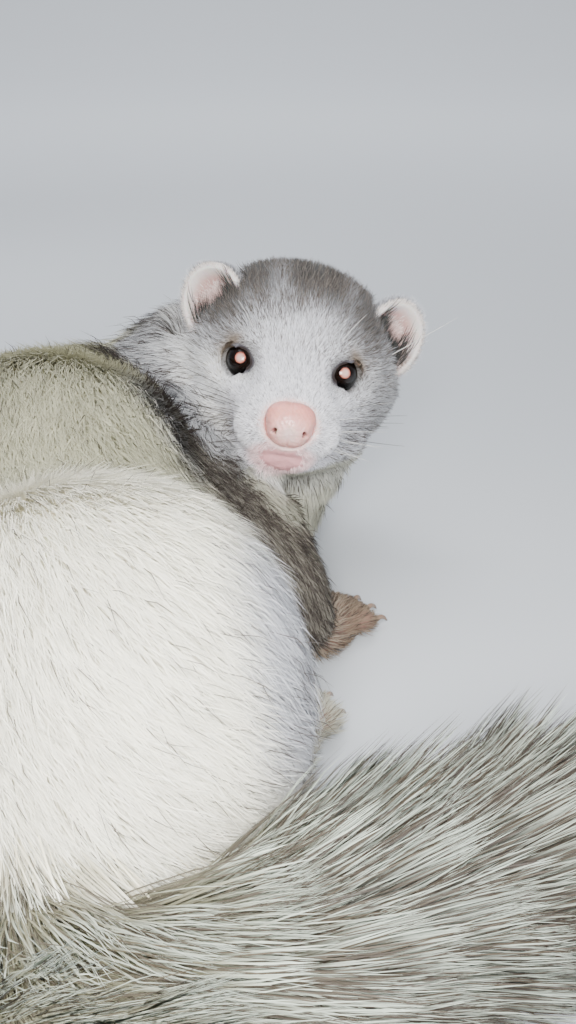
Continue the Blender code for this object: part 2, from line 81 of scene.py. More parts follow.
# The camera of the photograph, 576 by 1024: it looks along +Y and down.
CAMERA_PLACE = (46.0, -172.0, 131.4)
CAMERA_DOWN = 28.0
CAMERA_LENS = 950 / 1024 * 36

# Nodes that the skin replaces, by the kind of coat that they carry.
KINDS = {
    "head": ("head",),
    "neck": ("neck",),
    "trunk": ("chest", "loin", "rump"),
    "thigh": ("hindleg_right", "hindleg_left"),
    "arm": ("foreleg_right", "foreleg_left"),
    "paw": ("forepaw_right", "forepaw_left", "hindpaw_right", "hindpaw_left"),
    "tail": ("tail_base", "tail_brush"),
}
KIND_NAMES = list(KINDS)
VOXEL = 1.28

# In the head's own frame: x to the animal's right, y forward, z up, from midway between the eyes.
EYE_CENTRE = (11.6, -1.8, 0.2)
NOSE_CENTRE = (0.0, 26.6, -6.4)
EYE_RADIUS = 4.4
EYE_OUTWARD = 34.0
LID_FACING = (-0.36, 0.89, 0.27)  # the way that the opening between the lids faces, in the eye's frame
LID_HALF_LENGTH = 2.55
LID_HALF_HEIGHT = 2.3

# Centre lines in the row's frame, each with a radius.
SPINE = (
    (44, 66, 42), (34, 72, 36), (18, 67, 30), (4, 58, 28), (-6, 44, 30), (-8, 30, 32), (-6, 14, 34),
    (-1, -2, 32), (5, -18, 30), (11, -33, 32), (14, -50, 35), (13, -70, 33), (10, -88, 27),
)
ARM_RIGHT = ((20, 38, 33), (32, 25, 29), (42, 11, 23), (48, 3, 15), (51, 5, 8))
ARM_LEFT = ((34, 62, 18), (35, 48, 12), (34, 38, 8))
TAIL = (
    (10, -78, 28, 8), (12, -89, 26, 10), (21, -95, 23, 10.5), (36, -92, 20.5, 10.5), (60, -81, 19.5, 10),
    (90, -67, 18.5, 9), (114, -57.5, 17.5, 7), (130, -51.5, 16.5, 3.5),
)
# The dark band over the right shoulder, down to the wrist, the silver nape beside it, and the pale
# throat and bib.
DARK_BAND = (
    (5, 54, 56), (13, 41, 52), (20, 27, 50), (26, 23, 44), (34, 15, 38), (41, 6, 33), (46, -1, 26),
    (51, -1, 16), (53, 2, 8),
)
NAPE = ((12, 60, 59), (20, 47, 51), (27, 33, 47), (35, 25, 42))
THROAT = ((46, 50, 36), (50, 40, 26), (50, 38, 14))
BIB = ((40, 22, 40), (44.5, 18, 35))

PAWS = {
    # name: place of the palm's middle, heading, palm radii, toe length, spread
    "forepaw_right": ((54, 11), 57, (9.5, 7.2, 5.4), 8, 4.4),
    "forepaw_left": ((34, 31), -66, (9.5, 7.2, 5.4), 8.5, 4.6),
    "hindpaw_right": ((43.5, -30.5), 70, (17.5, 6.8, 5.8), 9, 3.7),
    "hindpaw_left": ((29, -17), 66, (15, 6.8, 5.8), 8, 3.7),
}


# ---- small helpers ----
def smooth(x, low, high):
    t = np.clip((x - low) / (high - low), 0, 1)
    return t * t * (3 - 2 * t)


def unit(v):
    return v / np.maximum(np.linalg.norm(v, axis=-1, keepdims=True), 1e-9)


def mix(a, b, t):
    t = np.asarray(t)
    return a + (np.asarray(b) - a) * (t[..., None] if np.ndim(a) > np.ndim(t) or np.ndim(b) > np.ndim(t) else t)


def between(rows, per_span=4):
    """The rows with Catmull-Rom rows put between them."""
    rows = np.array(rows, float)
    ends = np.vstack([2 * rows[0] - rows[1], rows, 2 * rows[-1] - rows[-2]])
    made = []
    for a, b, c, d in zip(ends, ends[1:], ends[2:], ends[3:]):
        for t in np.arange(per_span) / per_span:
            made.append(
                0.5 * (2 * b + (c - a) * t + (2 * a - 5 * b + 4 * c - d) * t**2 + (3 * b - a - 3 * c + d) * t**3)
            )
    return np.array([*made, rows[-1]])


def near_line(points, line):
    """Distance from each point to a line, the line's direction there, and the share along it."""
    best, way, along = np.full(len(points), 1e9), np.zeros_like(points), np.zeros(len(points))
    for i, (a, b) in enumerate(zip(line[:-1], line[1:])):
        ab = b - a
        t = np.clip((points - a) @ ab / (ab @ ab), 0, 1)
        away = np.linalg.norm(points - (a + t[:, None] * ab), axis=1)
        hit = away < best
        best[hit], way[hit], along[hit] = away[hit], ab / np.linalg.norm(ab), (i + t[hit]) / (len(line) - 1)
    return best, way, along


def node_object(name):
    return bpy.data.objects[name]


def box_middle(name):
    low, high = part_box(name)
    return (np.array(low) + np.array(high)) / 2 / MM


def head_axes():
    """The head's frame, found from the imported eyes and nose: origin and rows right, forward, up."""
    right, left, nose = (box_middle(n) for n in ("eye_right", "eye_left", "nose"))
    x = unit(right - left)
    middle = (right + left) / 2
    slope = math.atan2(NOSE_CENTRE[2] - EYE_CENTRE[2], NOSE_CENTRE[1] - EYE_CENTRE[1])
    ahead = nose - middle
    ahead = unit(ahead - x * (ahead @ x))
    up = np.cross(x, ahead)
    y = math.cos(slope) * ahead - math.sin(slope) * up
    z = math.sin(slope) * ahead + math.cos(slope) * up
    origin = middle - y * EYE_CENTRE[1] - z * EYE_CENTRE[2]
    return origin, np.array([x, y, z])


def to_head(points):
    return (points - HEAD_ORIGIN) @ HEAD_AXES.T


def from_head(points):
    return np.asarray(points, float) @ HEAD_AXES + HEAD_ORIGIN


def add_object(name, mesh, slot=None):
    obj = bpy.data.objects.new(name, mesh)
    bpy.context.scene.collection.objects.link(obj)
    return obj


def mesh_from(name, points, faces, matrix=None):
    mesh = bpy.data.meshes.new(name)
    mesh.from_pydata((np.asarray(points) * MM).tolist(), [], faces)
    if matrix is not None:
        mesh.transform(matrix)
    mesh.polygons.foreach_set("use_smooth", [True] * len(mesh.polygons))
    return mesh


def loft(rings):
    """Points and faces of a closed skin over rings, with a fan at each end."""
    rings = np.array(rings, float)
    count, sides = rings.shape[:2]
    points = np.vstack([rings.reshape(-1, 3), rings[0].mean(0), rings[-1].mean(0)])
    faces = []
    for i in range(count - 1):
        for j in range(sides):
            k = (j + 1) % sides
            faces.append((i * sides + j, (i + 1) * sides + j, (i + 1) * sides + k, i * sides + k))
    for j in range(sides):
        k = (j + 1) % sides
        faces.append((count * sides, j, k))
        faces.append((count * sides + 1, (count - 1) * sides + k, (count - 1) * sides + j))
    return points, faces


def tube(rows, sides=12, per_span=3):
    """A round tube along rows of x, y, z and radius."""
    rows = between(rows, per_span)
    ways = unit(np.gradient(rows[:, :3], axis=0))
    turns = np.arange(sides) * 2 * math.pi / sides
    rings = []
    for row, way in zip(rows, ways):
        side = unit(np.cross(way, (0.0, 0.0, 1.0)) + 1e-6)
        up = np.cross(side, way)
        rings.append([row[:3] + row[3] * (math.cos(a) * side + math.sin(a) * up) for a in turns])
    return loft(rings)


def ellipsoid(centre, radii, segments=32, rings=20):
    turns = np.arange(segments) * 2 * math.pi / segments
    rows = []
    for a in np.linspace(0.06, math.pi - 0.06, rings):
        rows.append([(math.sin(a) * math.cos(t), math.sin(a) * math.sin(t), math.cos(a)) for t in turns])
    points, faces = loft(rows)
    return points * np.array(radii) + np.array(centre), faces


def baked(obj):
    graph = bpy.context.evaluated_depsgraph_get()
    mesh = bpy.data.meshes.new_from_object(obj.evaluated_get(graph))
    obj.modifiers.clear()
    obj.data = mesh
    return obj


def neighbour_links(mesh):
    edges = np.empty(len(mesh.edges) * 2, np.int32)
    mesh.edges.foreach_get("vertices", edges)
    edges = edges.reshape(-1, 2)
    return np.concatenate([edges[:, 0], edges[:, 1]]), np.concatenate([edges[:, 1], edges[:, 0]])


def neighbour_mean(values, links):
    ends, others = links
    count = len(values)
    number = np.maximum(np.bincount(ends, minlength=count), 1)
    return np.stack([np.bincount(ends, values[others, k], count) for k in range(values.shape[1])], 1) / number[:, None]


def points_of(mesh):
    values = np.empty(len(mesh.vertices) * 3, np.float32)
    mesh.vertices.foreach_get("co", values)
    return values.reshape(-1, 3).astype(float) / MM


def set_points(mesh, points):
    mesh.vertices.foreach_set("co", (points * MM).astype(np.float32).ravel())
    mesh.update()


def normals_of(mesh):
    values = np.empty(len(mesh.vertices) * 3, np.float32)
    mesh.vertices.foreach_get("normal", values)
    return values.reshape(-1, 3).astype(float)


# ---- the skin ----
def paw_parts(name):
    """Palm and toes, and each claw's line, in the row's frame."""
    (x, y), heading, palm, toe, spread = PAWS[name]
    turn = math.radians(heading)
    axes = np.array([[math.cos(turn), math.sin(turn), 0], [-math.sin(turn), math.cos(turn), 0], [0, 0, 1]])
    place = np.array([x, y, 0.0])
    parts, claws = [], []

    def put(points):
        return np.asarray(points, float) @ axes + place

    points, faces = ellipsoid((0, 0, palm[2] - 0.9), palm)
    parts.append((put(points), faces))
    for k in range(-2, 3):
        length = toe * (1 - 0.09 * abs(k) ** 1.5)
        lean = math.radians(9 * k)
        start = np.array([palm[0] * (0.62 - 0.05 * k * k), spread * 0.72 * k, 3.6])
        way = np.array([math.cos(lean), math.sin(lean), 0.0])
        knuckle = start + way * length * 0.5 + (0, 0, 1.2)
        tip = start + way * length - (0, 0, 1.3)
        rows = [(*start, 2.2), (*knuckle, 2.35), (*tip, 1.9)]
        points, faces = tube(rows, 12, 3)
        parts.append((put(points), faces))
        base = start + way * (length + 0.4)
        base[2] = 2.7
        end = base + way * 4.4
        end[2] = 1.0
        line = np.array([base - way * 0.8, base + way * 1.6 + (0, 0, 0.4), base + way * 3.2 - (0, 0, 0.3), end])
        claws.append(put(line))
    return parts, claws


def joined(parts):
    points, faces, start = [], [], 0
    for some, their_faces in parts:
        points.append(some)
        faces += [tuple(i + start for i in face) for face in their_faces]
        start += len(some)
    return np.vstack(points), faces


def packed_parts(names):
    parts = []
    for name in names:
        mesh = node_object(name).data
        parts.append((points_of(mesh), [tuple(p.vertices) for p in mesh.polygons]))
    return parts


def refine(mesh, wanted):
    """Split the faces whose corners are all wanted."""
    grid = bmesh.new()
    grid.from_mesh(mesh)
    edges = [e for e in grid.edges if wanted[e.verts[0].index] and wanted[e.verts[1].index]]
    bmesh.ops.subdivide_edges(grid, edges=edges, cuts=1, use_grid_fill=True)
    grid.to_mesh(mesh)
    grid.free()


def fine_zone(points, closer):
    """Where the skin needs a finer mesh: the face and paws, and then the eyes and mouth."""
    local = to_head(points)
    if not closer:
        paws = np.min([np.linalg.norm(points[:, :2] - row[0], axis=1) for row in PAWS.values()], axis=0)
        return ((local[:, 1] > -8) & (np.linalg.norm(local, axis=1) < 36)) | ((paws < 26) & (points[:, 2] < 9))
    zone = (local[:, 1] > 15) & (local[:, 2] < -9) & (local[:, 2] > -21) & (np.abs(local[:, 0]) < 11) & (local[:, 1] < 34)
    for side in (1, -1):
        eye = eye_local(points, side)
        zone |= (eye[:, 1] > 0) & (np.linalg.norm(eye, axis=1) < 14) & (lid_measure(eye, side) < 2.3)
    return zone


def kinds_at(points):
    """For each point, how much it belongs to each kind of node: one for the nearest node."""
    faces, owner, start, corners = [], [], 0, []
    for i, names in enumerate(KINDS.values()):
        for some, their_faces in packed_parts(names):
            corners.append(some)
            faces += [tuple(j + start for j in face) for face in their_faces]
            owner += [i] * len(their_faces)
            start += len(some)
    tree = BVHTree.FromPolygons(np.vstack(corners).tolist(), faces)
    weights = np.zeros((len(points), len(KINDS)))
    for i, point in enumerate(points):
        weights[i, owner[tree.find_nearest(point)[2]]] = 1
    return weights


def kind(weights, *names):
    return sum(weights[:, KIND_NAMES.index(name)] for name in names)


def coat_depth(points, weights):
    """How far the skin lies under the solids' surface."""
    local = to_head(points)
    face = smooth(local[:, 1], -16, 16)
    head = 1.9 * (1 - face) + 0.35 * face
    pad = np.linalg.norm((local - NOSE_CENTRE) / (5.4, 3.9, 4.8), axis=1)
    head = head - 0.2 * smooth(pad, 1.45, 1.1)
    depths = {"head": head, "neck": 2.8, "trunk": 3.2, "thigh": 3.4, "arm": 2.0, "paw": 0.2, "tail": 0.8}
    return sum(kind(weights, name) * depth for name, depth in depths.items())


def eye_local(points, side):
    """Points in an eye's frame: x across, y out of the eye, z up."""
    local = to_head(points) - np.array((EYE_CENTRE[0] * side, *EYE_CENTRE[1:]))
    turn = -side * math.radians(EYE_OUTWARD)
    x = local[:, 0] * math.cos(turn) + local[:, 1] * math.sin(turn)
    y = -local[:, 0] * math.sin(turn) + local[:, 1] * math.cos(turn)
    return np.stack([x, y, local[:, 2]], 1)


def from_eye(local, side):
    turn = -side * math.radians(EYE_OUTWARD)
    x = local[:, 0] * math.cos(turn) - local[:, 1] * math.sin(turn)
    y = local[:, 0] * math.sin(turn) + local[:, 1] * math.cos(turn)
    return from_head(np.stack([x, y, local[:, 2]], 1) + np.array((EYE_CENTRE[0] * side, *EYE_CENTRE[1:])))


def lid_axes(side):
    """The lids' frame: outward, out of the opening, up."""
    out = unit(np.array((LID_FACING[0] * side, *LID_FACING[1:])))
    across = unit(np.cross(out, (0.0, 0.0, 1.0))) * side
    return np.array([across, out, np.cross(across, out) * side])


def lid_measure(local, side):
    """1 on the edge of the lids, less inside the opening, seen along the way that it faces."""
    place = local @ lid_axes(side).T
    across = place[:, 0] / LID_HALF_LENGTH
    rise = (place[:, 2] - 0.25 * across + 0.35 * np.minimum(across**2, 1)) / LID_HALF_HEIGHT
    return np.sqrt(across**2 + np.abs(rise) ** 1.8)


def shape_lids(points, links):
    """The skin drawn over each eyeball as lids, sunk behind it in the opening, in a hollow of the face."""
    for side in (1, -1):
        axes = lid_axes(side)
        local = eye_local(points, side)
        place = local @ axes.T
        measure = lid_measure(local, side)
        wide = np.hypot(place[:, 0], place[:, 2])
        front = (place[:, 1] > 0) & (wide < 12)
        cover = np.sqrt(np.maximum((EYE_RADIUS + 0.65) ** 2 - wide**2, 0))
        height = np.minimum(place[:, 1], 4.0 + 5.4 * np.maximum(measure - 1.3, 0))
        height = np.where(wide < EYE_RADIUS + 0.6, np.maximum(height, cover), height)
        height = mix(height, cover, 1 - smooth(measure, 1.2, 1.6))
        height = np.where(measure < 0.97, np.sqrt(np.maximum((EYE_RADIUS - 0.9) ** 2 - wide**2, 0)), height)
        place[:, 1] = np.where(front, mix(height, place[:, 1], smooth(wide, 8, 12)), place[:, 1])
        points = np.where(front[:, None], from_eye(place @ axes, side), points)
        rim = front * smooth(measure, 1.5, 2.0) * smooth(wide, 12, 8) * 0.5
        for _ in range(6):
            points = mix(points, neighbour_mean(points, links), rim)
    return points


def mouth_line(count=41):
    """The line between the lips, in the head's frame."""
    t = np.linspace(-1, 1, count)
    a = t * math.pi / 2
    level = np.interp(np.abs(t), (0, 0.25, 0.6, 1), (-13.2, -14.2, -15.6, -14.6))
    return np.stack([10.0 * np.sin(a), 7.0 + 16.5 * np.cos(a) ** 0.7, level], 1)


def shape_mouth(points, normals):
    """A crease between the lips, a fuller lower lip, and the cleft under the nose."""
    local = to_head(points)
    away, _, along = near_line(local, mouth_line())
    crease = 0.35 * np.exp(-((away / 0.5) ** 2))
    lip = 0.45 * np.exp(-(((away - 1.6) / 1.2) ** 2)) * smooth(np.abs(local[:, 0]), 6.5, 4)
    cleft = 0.2 * np.exp(-((local[:, 0] / 0.45) ** 2)) * smooth(local[:, 1], 22, 25)
    cleft *= smooth(local[:, 2], -14, -12.5) * (1 - smooth(local[:, 2], -11, -9))
    return points + normals * (lip - crease - cleft)[:, None]


def make_skin():
    """One closed skin over every node of flesh, with each point's share in each kind of coat."""
    flesh = [name for k in ("head", "neck", "trunk", "thigh", "arm") for name in KINDS[k]]
    parts = packed_parts([*flesh, "tail_base"])
    for name in PAWS:
        parts += paw_parts(name)[0]
    parts.append(tube([(x, y, z, r * 0.93) for x, y, z, r in TAIL], 24, 4))
    points, faces = joined(parts)
    skin = add_object("skin", mesh_from("skin", points, faces))
    step = skin.modifiers.new("fuse", "REMESH")
    step.mode = "VOXEL"
    step.voxel_size = VOXEL * MM
    baked(skin)
    mesh = skin.data
    for closer in (False, True):
        refine(mesh, fine_zone(points_of(mesh), closer))
    points = points_of(mesh)
    links = neighbour_links(mesh)
    weights = kinds_at(points)
    for _ in range(24):
        weights = neighbour_mean(weights, links)
    local = to_head(points)
    soft = 1 - 0.93 * kind(weights, "head") * smooth(local[:, 1], -45, -20)
    soft = np.where(kind(weights, "paw") > 0.5, 0.05, soft)
    for _ in range(32):
        points = mix(points, neighbour_mean(points, links), soft * 0.6)
    set_points(mesh, points)
    points = points - normals_of(mesh) * coat_depth(points, weights)[:, None]
    for _ in range(4):
        points = mix(points, neighbour_mean(points, links), np.full(len(points), 0.4))
    points = shape_lids(points, links)
    set_points(mesh, points)
    points = shape_mouth(points, normals_of(mesh))
    points[:, 2] = np.maximum(points[:, 2], 0)
    set_points(mesh, points)
    mesh.polygons.foreach_set("use_smooth", [True] * len(mesh.polygons))
    return skin, weights


# ---- the coat's fields, kept at the skin's points ----
def coat_way(points, normals, weights, links):
    """The way that the hair lies at each point of the skin."""
    _, spine, _ = near_line(points, between(SPINE, 3))
    steep = 1 - np.abs(normals[:, 2:3])
    trunk = spine + steep * (0, 0, -0.5)
    over = np.clip(points[:, 0] / 45, -1, 1)
    rump = np.stack([0.3 + 0.7 * over, -0.65 * (1 - 0.85 * np.abs(over)), np.full(len(points), -0.4)], 1)
    thigh = unit(rump)
    trunk = mix(unit(trunk), thigh, smooth(points[:, 1], -8, -34))
    near_right, right, _ = near_line(points, between(ARM_RIGHT, 3))
    near_left, left, _ = near_line(points, between(ARM_LEFT, 3))
    arm = np.where((near_right < near_left)[:, None], right, left)
    local = to_head(points)
    head = unit(local - (0, 27, -9)) + (0, -0.55, 0)
    head = head @ HEAD_AXES
    neck = mix(spine, np.array((0.05, -0.35, -0.9)), smooth(points[:, 2], 52, 34))
    _, tail, _ = near_line(points, between([row[:3] for row in TAIL], 4))
    paw = np.zeros_like(points)
    middles = np.array([(*PAWS[name][0], 4) for name in PAWS])
    nearest = np.argmin(np.linalg.norm(points[:, None] - middles[None], axis=2), axis=1)
    for i, name in enumerate(PAWS):
        turn = math.radians(PAWS[name][1])
        paw[nearest == i] = (math.cos(turn), math.sin(turn), -0.15)
    ways = {"head": head, "neck": neck, "trunk": trunk, "thigh": thigh, "arm": arm, "paw": paw, "tail": tail}
    way = sum(kind(weights, name)[:, None] * unit(w) for name, w in ways.items())
    for _ in range(25):
        way = way - normals * (way * normals).sum(1, keepdims=True)
        way = mix(way, neighbour_mean(unit(way), links), np.full(len(way), 0.7))
    return unit(way - normals * (way * normals).sum(1, keepdims=True))


def bend_along(points, normals, ways, links):
    """How fast the skin turns away along the hair, in 1 per mm."""
    ends, others = links
    step = ((points[others] - points[ends]) * ways[ends]).sum(1)
    turn = ((normals[others] - normals[ends]) * ways[ends]).sum(1)
    count = len(points)
    bend = np.bincount(ends, turn * step, count) / np.maximum(np.bincount(ends, step * step, count), 1e-6)
    bend = np.clip(bend, -0.06, 0.09)[:, None]
    for _ in range(30):
        bend = neighbour_mean(bend, links)
    return bend[:, 0]


def along_tail(points):
    return near_line(points, between([row[:3] for row in TAIL], 4))[2]


def hair_length(points, weights):
    local = to_head(points)
    paw = np.full(len(points), 1.6)
    for (x, y), heading, palm, toe, _ in PAWS.values():
        way = np.array((math.cos(math.radians(heading)), math.sin(math.radians(heading))))
        ahead = (points[:, :2] - (x, y)) @ way
        near = np.linalg.norm(points[:, :2] - (x, y), axis=1) < palm[0] + toe + 6
        back = 1.8 + (5.2 if palm[0] > 10 else 3.8) * smooth(ahead, palm[0] * 1.1, 0)
        paw = np.where(near, back, paw)
    away = np.linalg.norm(local - (0, 25, -8), axis=1)
    face = np.clip(1.0 + 0.115 * (away - 5), 1.0, 6.5)
    for side in (1, -1):
        eye = np.linalg.norm(local - (EYE_CENTRE[0] * side, 3.0, 0), axis=1)
        face *= 0.22 + 0.78 * smooth(eye, 5.0, 13.0)
    lengths = {"head": face, "neck": 8.5, "trunk": 11.0, "thigh": 11.5, "arm": 7.0, "paw": paw, "tail": 27.0}
    return sum(kind(weights, name) * length for name, length in lengths.items())


def colours(**named):
    """sRGB colours, 0 to 255, as linear ones."""
    made = {}
    for name, value in named.items():
        v = np.array(value) / 255
        made[name] = np.where(v <= 0.04045, v / 12.92, ((v + 0.055) / 1.055) ** 2.4)
    return made


TINT = colours(
    cream_root=(214, 208, 184), cream_tip=(247, 245, 233), grey_root=(108, 104, 104), silver_tip=(226, 228, 235),
    cheek_tip=(184, 186, 190), nape_root=(76, 72, 70), nape_tip=(152, 153, 154), band_root=(44, 41, 37),
    band_tip=(132, 128, 118), arm_root=(56, 51, 45), arm_tip=(148, 142, 130), dark=(62, 55, 51), crown=(32, 31, 29),
    crown_tip=(60, 61, 60), brown=(134, 116, 94), pink=(206, 158, 150), pale_pink=(236, 206, 202), paw=(122, 92, 78),
    paw_hair=(142, 126, 106), tail_root=(44, 42, 36), tail_tip=(192, 204, 192), umber=(76, 68, 56), lid=(66, 50, 50),
    bib_root=(136, 134, 120), bib=(196, 195, 178), rim=(108, 90, 72), lip=(218, 160, 164), lip_hair=(236, 212, 214),
    mauve=(154, 150, 160), knee_tip=(184, 188, 198), muzzle_tip=(240, 240, 247), beige=(156, 142, 122), tan=(112, 108, 94), sand_root=(150, 147, 119),
    sand_tip=(197, 195, 170), fleck=(128, 120, 114), ear_edge=(240, 232, 228), ear_mid=(208, 166, 160),
)


def blotches(points, size):
    """Soft waves from -1 to 1 that vary over about this many millimetres."""
    total = np.zeros(len(points))
    for k, (a, b, c) in enumerate(((1.0, 0.3, 0.5), (-0.4, 1.1, 0.2), (0.3, -0.6, 1.0), (0.9, 0.8, -0.7))):
        total += np.sin((points @ np.array((a, b, c))) * 2 * math.pi / (size * (1 + 0.37 * k)) + 1.7 * k)
    return total / 4


def markings(points, weights):
    """At each point: the colour of the hair's root and tip, and the share of dark hairs."""
    local = to_head(points)
    shape = (len(points), 1)
    root, tip = np.tile(TINT["cream_root"], shape), np.tile(TINT["cream_tip"], shape)
    dark = np.full(len(points), 0.018)

    def lay(share, a, b, hairs):
        nonlocal root, tip, dark
        share = np.clip(share, 0, 1)
        root, tip = mix(root, TINT[a], share), mix(tip, TINT[b], share)
        dark = dark + (hairs - dark) * share

    wave = blotches(points, 14) * 2.5
    fine = blotches(points, 5) * 1.5
    body = 1 - kind(weights, "head", "tail")
    # The haunch greys towards the knee.
    knee = points[:, 0] + 0.7 * wave - 0.25 * (55 - points[:, 2])
    knee = kind(weights, "thigh", "trunk") * smooth(knee, 30, 39)
    knee *= smooth(points[:, 1], -28, -38)
    lay(knee * 0.92, "mauve", "knee_tip", 0.045)
    # Sand on the back, grey on the nape, and a dark band from it down the shoulder to the wrist.
    lay(kind(weights, "neck"), "nape_root", "nape_tip", 0.28)
    lay(smooth(points[:, 1] + wave, -30, -6) * kind(weights, "trunk"), "sand_root", "sand_tip", 0.015)
    lay(kind(weights, "arm"), "arm_root", "arm_tip", 0.36)
    band, _, along = near_line(points, between(DARK_BAND, 3))
    nape, _, _ = near_line(points, np.array(NAPE, float))
    throat, _, _ = near_line(points, np.array(THROAT, float))
    bib, _, _ = near_line(points, np.array(BIB, float))
    lay(body * smooth(nape + fine, 9, 6), "grey_root", "cheek_tip", 0.12)
    lay(body * smooth(throat + wave, 18, 13), "bib_root", "bib", 0.02)
    lay(body * smooth(bib + fine, 6.5, 4.5), "bib_root", "bib", 0.04)
    reach = 4.5 + 6 * smooth(along, 0.55, 0.8)
    lay(body * smooth(band + fine - reach, 1.5, -1.5) * (1 - 0.55 * smooth(along, 0.4, 0.65)), "band_root", "band_tip", 0.5)
    shank = kind(weights, "thigh") * smooth(points[:, 2] + wave, 16, 8)
    lay(shank, "beige", "bib", 0.05)
    # The head is silver with dark flecks, greyer on the cheeks, with a grey-brown crown, darker
    # patches before the ears, a brown ring at each eye and a pale muzzle.
    head = kind(weights, "head")
    streak = blotches(local * (1.0, 0.35, 0.35), 4.5)
    broad = blotches(local * (1.0, 0.3, 0.3), 8)
    lay(head, "grey_root", "silver_tip", 0.26 + 0.16 * streak)
    # The cheek turned from the light is painted greyer and the lit cheek paler: partly their own tones, partly painted
    # shade and light.
    cheek = smooth(np.abs(local[:, 0]) + wave, 14, 22) * smooth(local[:, 2], 8, 0)
    lay(head * cheek * (0.55 - 0.45 * np.tanh(local[:, 0] / 8)), "grey_root", "cheek_tip", 0.16)
    bright = smooth(local[:, 0] + wave, 8, 16) * smooth(local[:, 2], 4, -3) * smooth(local[:, 1], -20, -8)
    lay(head * bright * 0.85, "cream_root", "silver_tip", 0.03)
    bridge = smooth(np.abs(local[:, 0]), 11, 4) * smooth(local[:, 1] + wave, -8, 3)
    lay(head * bridge * 0.7, "mauve", "muzzle_tip", 0.10)
    crown = smooth(local[:, 1] + wave + fine, 3, -12) * smooth(local[:, 2] + wave * 0.4, 4, 12)
    lay(head * crown * (0.85 + 0.6 * broad), "crown", "crown_tip", 0.45 + 0.35 * streak)
    patch = np.exp(-((np.linalg.norm(local - (-3, -10, 17), axis=1) / 5) ** 2))
    lay(head * patch * 0.6, "arm_root", "crown_tip", 0.6)
    for s in (1, -1):
        patch = np.exp(-((np.linalg.norm((local - (15.5 * s, -9, 8.5)) / (1.0, 1.4, 1.1), axis=1) / 6.5) ** 2))
        lay(head * patch * 0.9, "crown", "crown_tip", 0.5)
    side = smooth(local[:, 1] + wave, -18, -32) * smooth(np.abs(local[:, 0]), 10, 20)
    lay(head * side * 0.6, "nape_root", "nape_tip", 0.25)
    muzzle = smooth(local[:, 1] + 0.4 * wave, 6, 15)
    lay(head * muzzle * 0.9, "mauve", "muzzle_tip", 0.04)
    under = smooth(local[:, 2] + wave * 0.5, -17, -23) * smooth(local[:, 1], 14, 4)
    under = np.maximum(under, smooth(local[:, 2], -17.6, -19.4))
    lay(head * under, "bib_root", "bib", 0.02)
    pad = np.linalg.norm((local - NOSE_CENTRE) / (5.4, 3.9, 4.8), axis=1)
    lay(head * smooth(pad, 1.5, 1.1) * 0.8, "pale_pink", "silver_tip", 0.0)
    mouth = np.hypot((local[:, 0] - 0.5) / 6.5, (local[:, 2] + 14.8) / 4.2)
    lay(head * smooth(mouth, 1.3, 0.9) * smooth(local[:, 1], 15, 18), "lip", "lip_hair", 0.0)
    for s in (1, -1):
        eye = eye_local(points, s)
        near = ((eye @ lid_axes(s).T)[:, 1] > -2) & (np.linalg.norm(eye, axis=1) < 11)
        outer = 0.15 + 0.85 * smooth(eye[:, 0] * s + eye[:, 2] * 0.5, -0.5, 3)
        lay(near * outer * 0.8 * smooth(lid_measure(eye, s) + fine * 0.2, 2.6, 1.8), "rim", "brown", 0.0)
    lay(kind(weights, "paw"), "paw", "paw_hair", 0.3)
    lay(kind(weights, "paw") * smooth(points[:, 1], -4, -14), "beige", "bib", 0.1)
    tail = kind(weights, "tail")
    patchy = 0.5 + 0.5 * blotches(points, 23)
    lay(tail, "tail_root", "tail_tip", 0.44)
    lay(tail * patchy * 0.85, "tail_root", "tan", 0.6)
    lay(tail * smooth(points[:, 0] + 2 * wave, 48, 12) * 0.6, "sand_root", "tail_tip", 0.2)
    return root, tip, dark


def lip_share(local):
    """1 on the bare pink lower lip, fading at its edges."""
    away = np.hypot((local[:, 0] - 0.5) / 5.0, (local[:, 2] + 14.7) / 3.0)
    return smooth(away + 0.08 * blotches(local, 2.2), 1.25, 0.75) * smooth(local[:, 1], 15, 18)


def skin_colour(points, weights, root, dark):
    """The skin under the coat: the roots' colour, and bare pink or dark skin where it shows."""
    local = to_head(points)
    colour = root * 0.95
    for s in (1, -1):
        eye = eye_local(points, s)
        near = ((eye @ lid_axes(s).T)[:, 1] > -2) & (np.linalg.norm(eye, axis=1) < 11)
        measure = lid_measure(eye, s)
        colour = mix(colour, TINT["rim"], smooth(measure, 2.1, 1.6) * near)
        # The bare ring round each lid is painted dark mauve: partly the skin's own mauve, partly painted shade in the
        # hollow round the eye.
        colour = mix(colour, TINT["mauve"] * 0.3, smooth(measure, 1.8, 1.5) * near)
        colour = mix(colour, TINT["lid"] * 0.4, smooth(measure, 1.25, 1.1) * near)
    away, _, _ = near_line(local, mouth_line())
    front = smooth(local[:, 1], 14, 20)
    colour = mix(colour, TINT["lip"], lip_share(local))
    pad = np.linalg.norm((local - NOSE_CENTRE) / (5.4, 3.9, 4.8), axis=1)
    colour = mix(colour, TINT["pale_pink"], smooth(pad, 1.45, 1.15))
    colour = mix(colour, TINT["nose"] * 0.8, smooth(pad, 1.12, 1.04))
    # Painted shade: a dark pink line along the mouth's crease, under the nose.
    colour = mix(colour, TINT["lip"] * 0.6, 0.4 * smooth(away, 0.45, 0.15) * front * smooth(np.abs(local[:, 0]), 5, 2))
    return mix(colour, TINT["paw"] * 0.9 + TINT["pink"] * 0.1, kind(weights, "paw"))


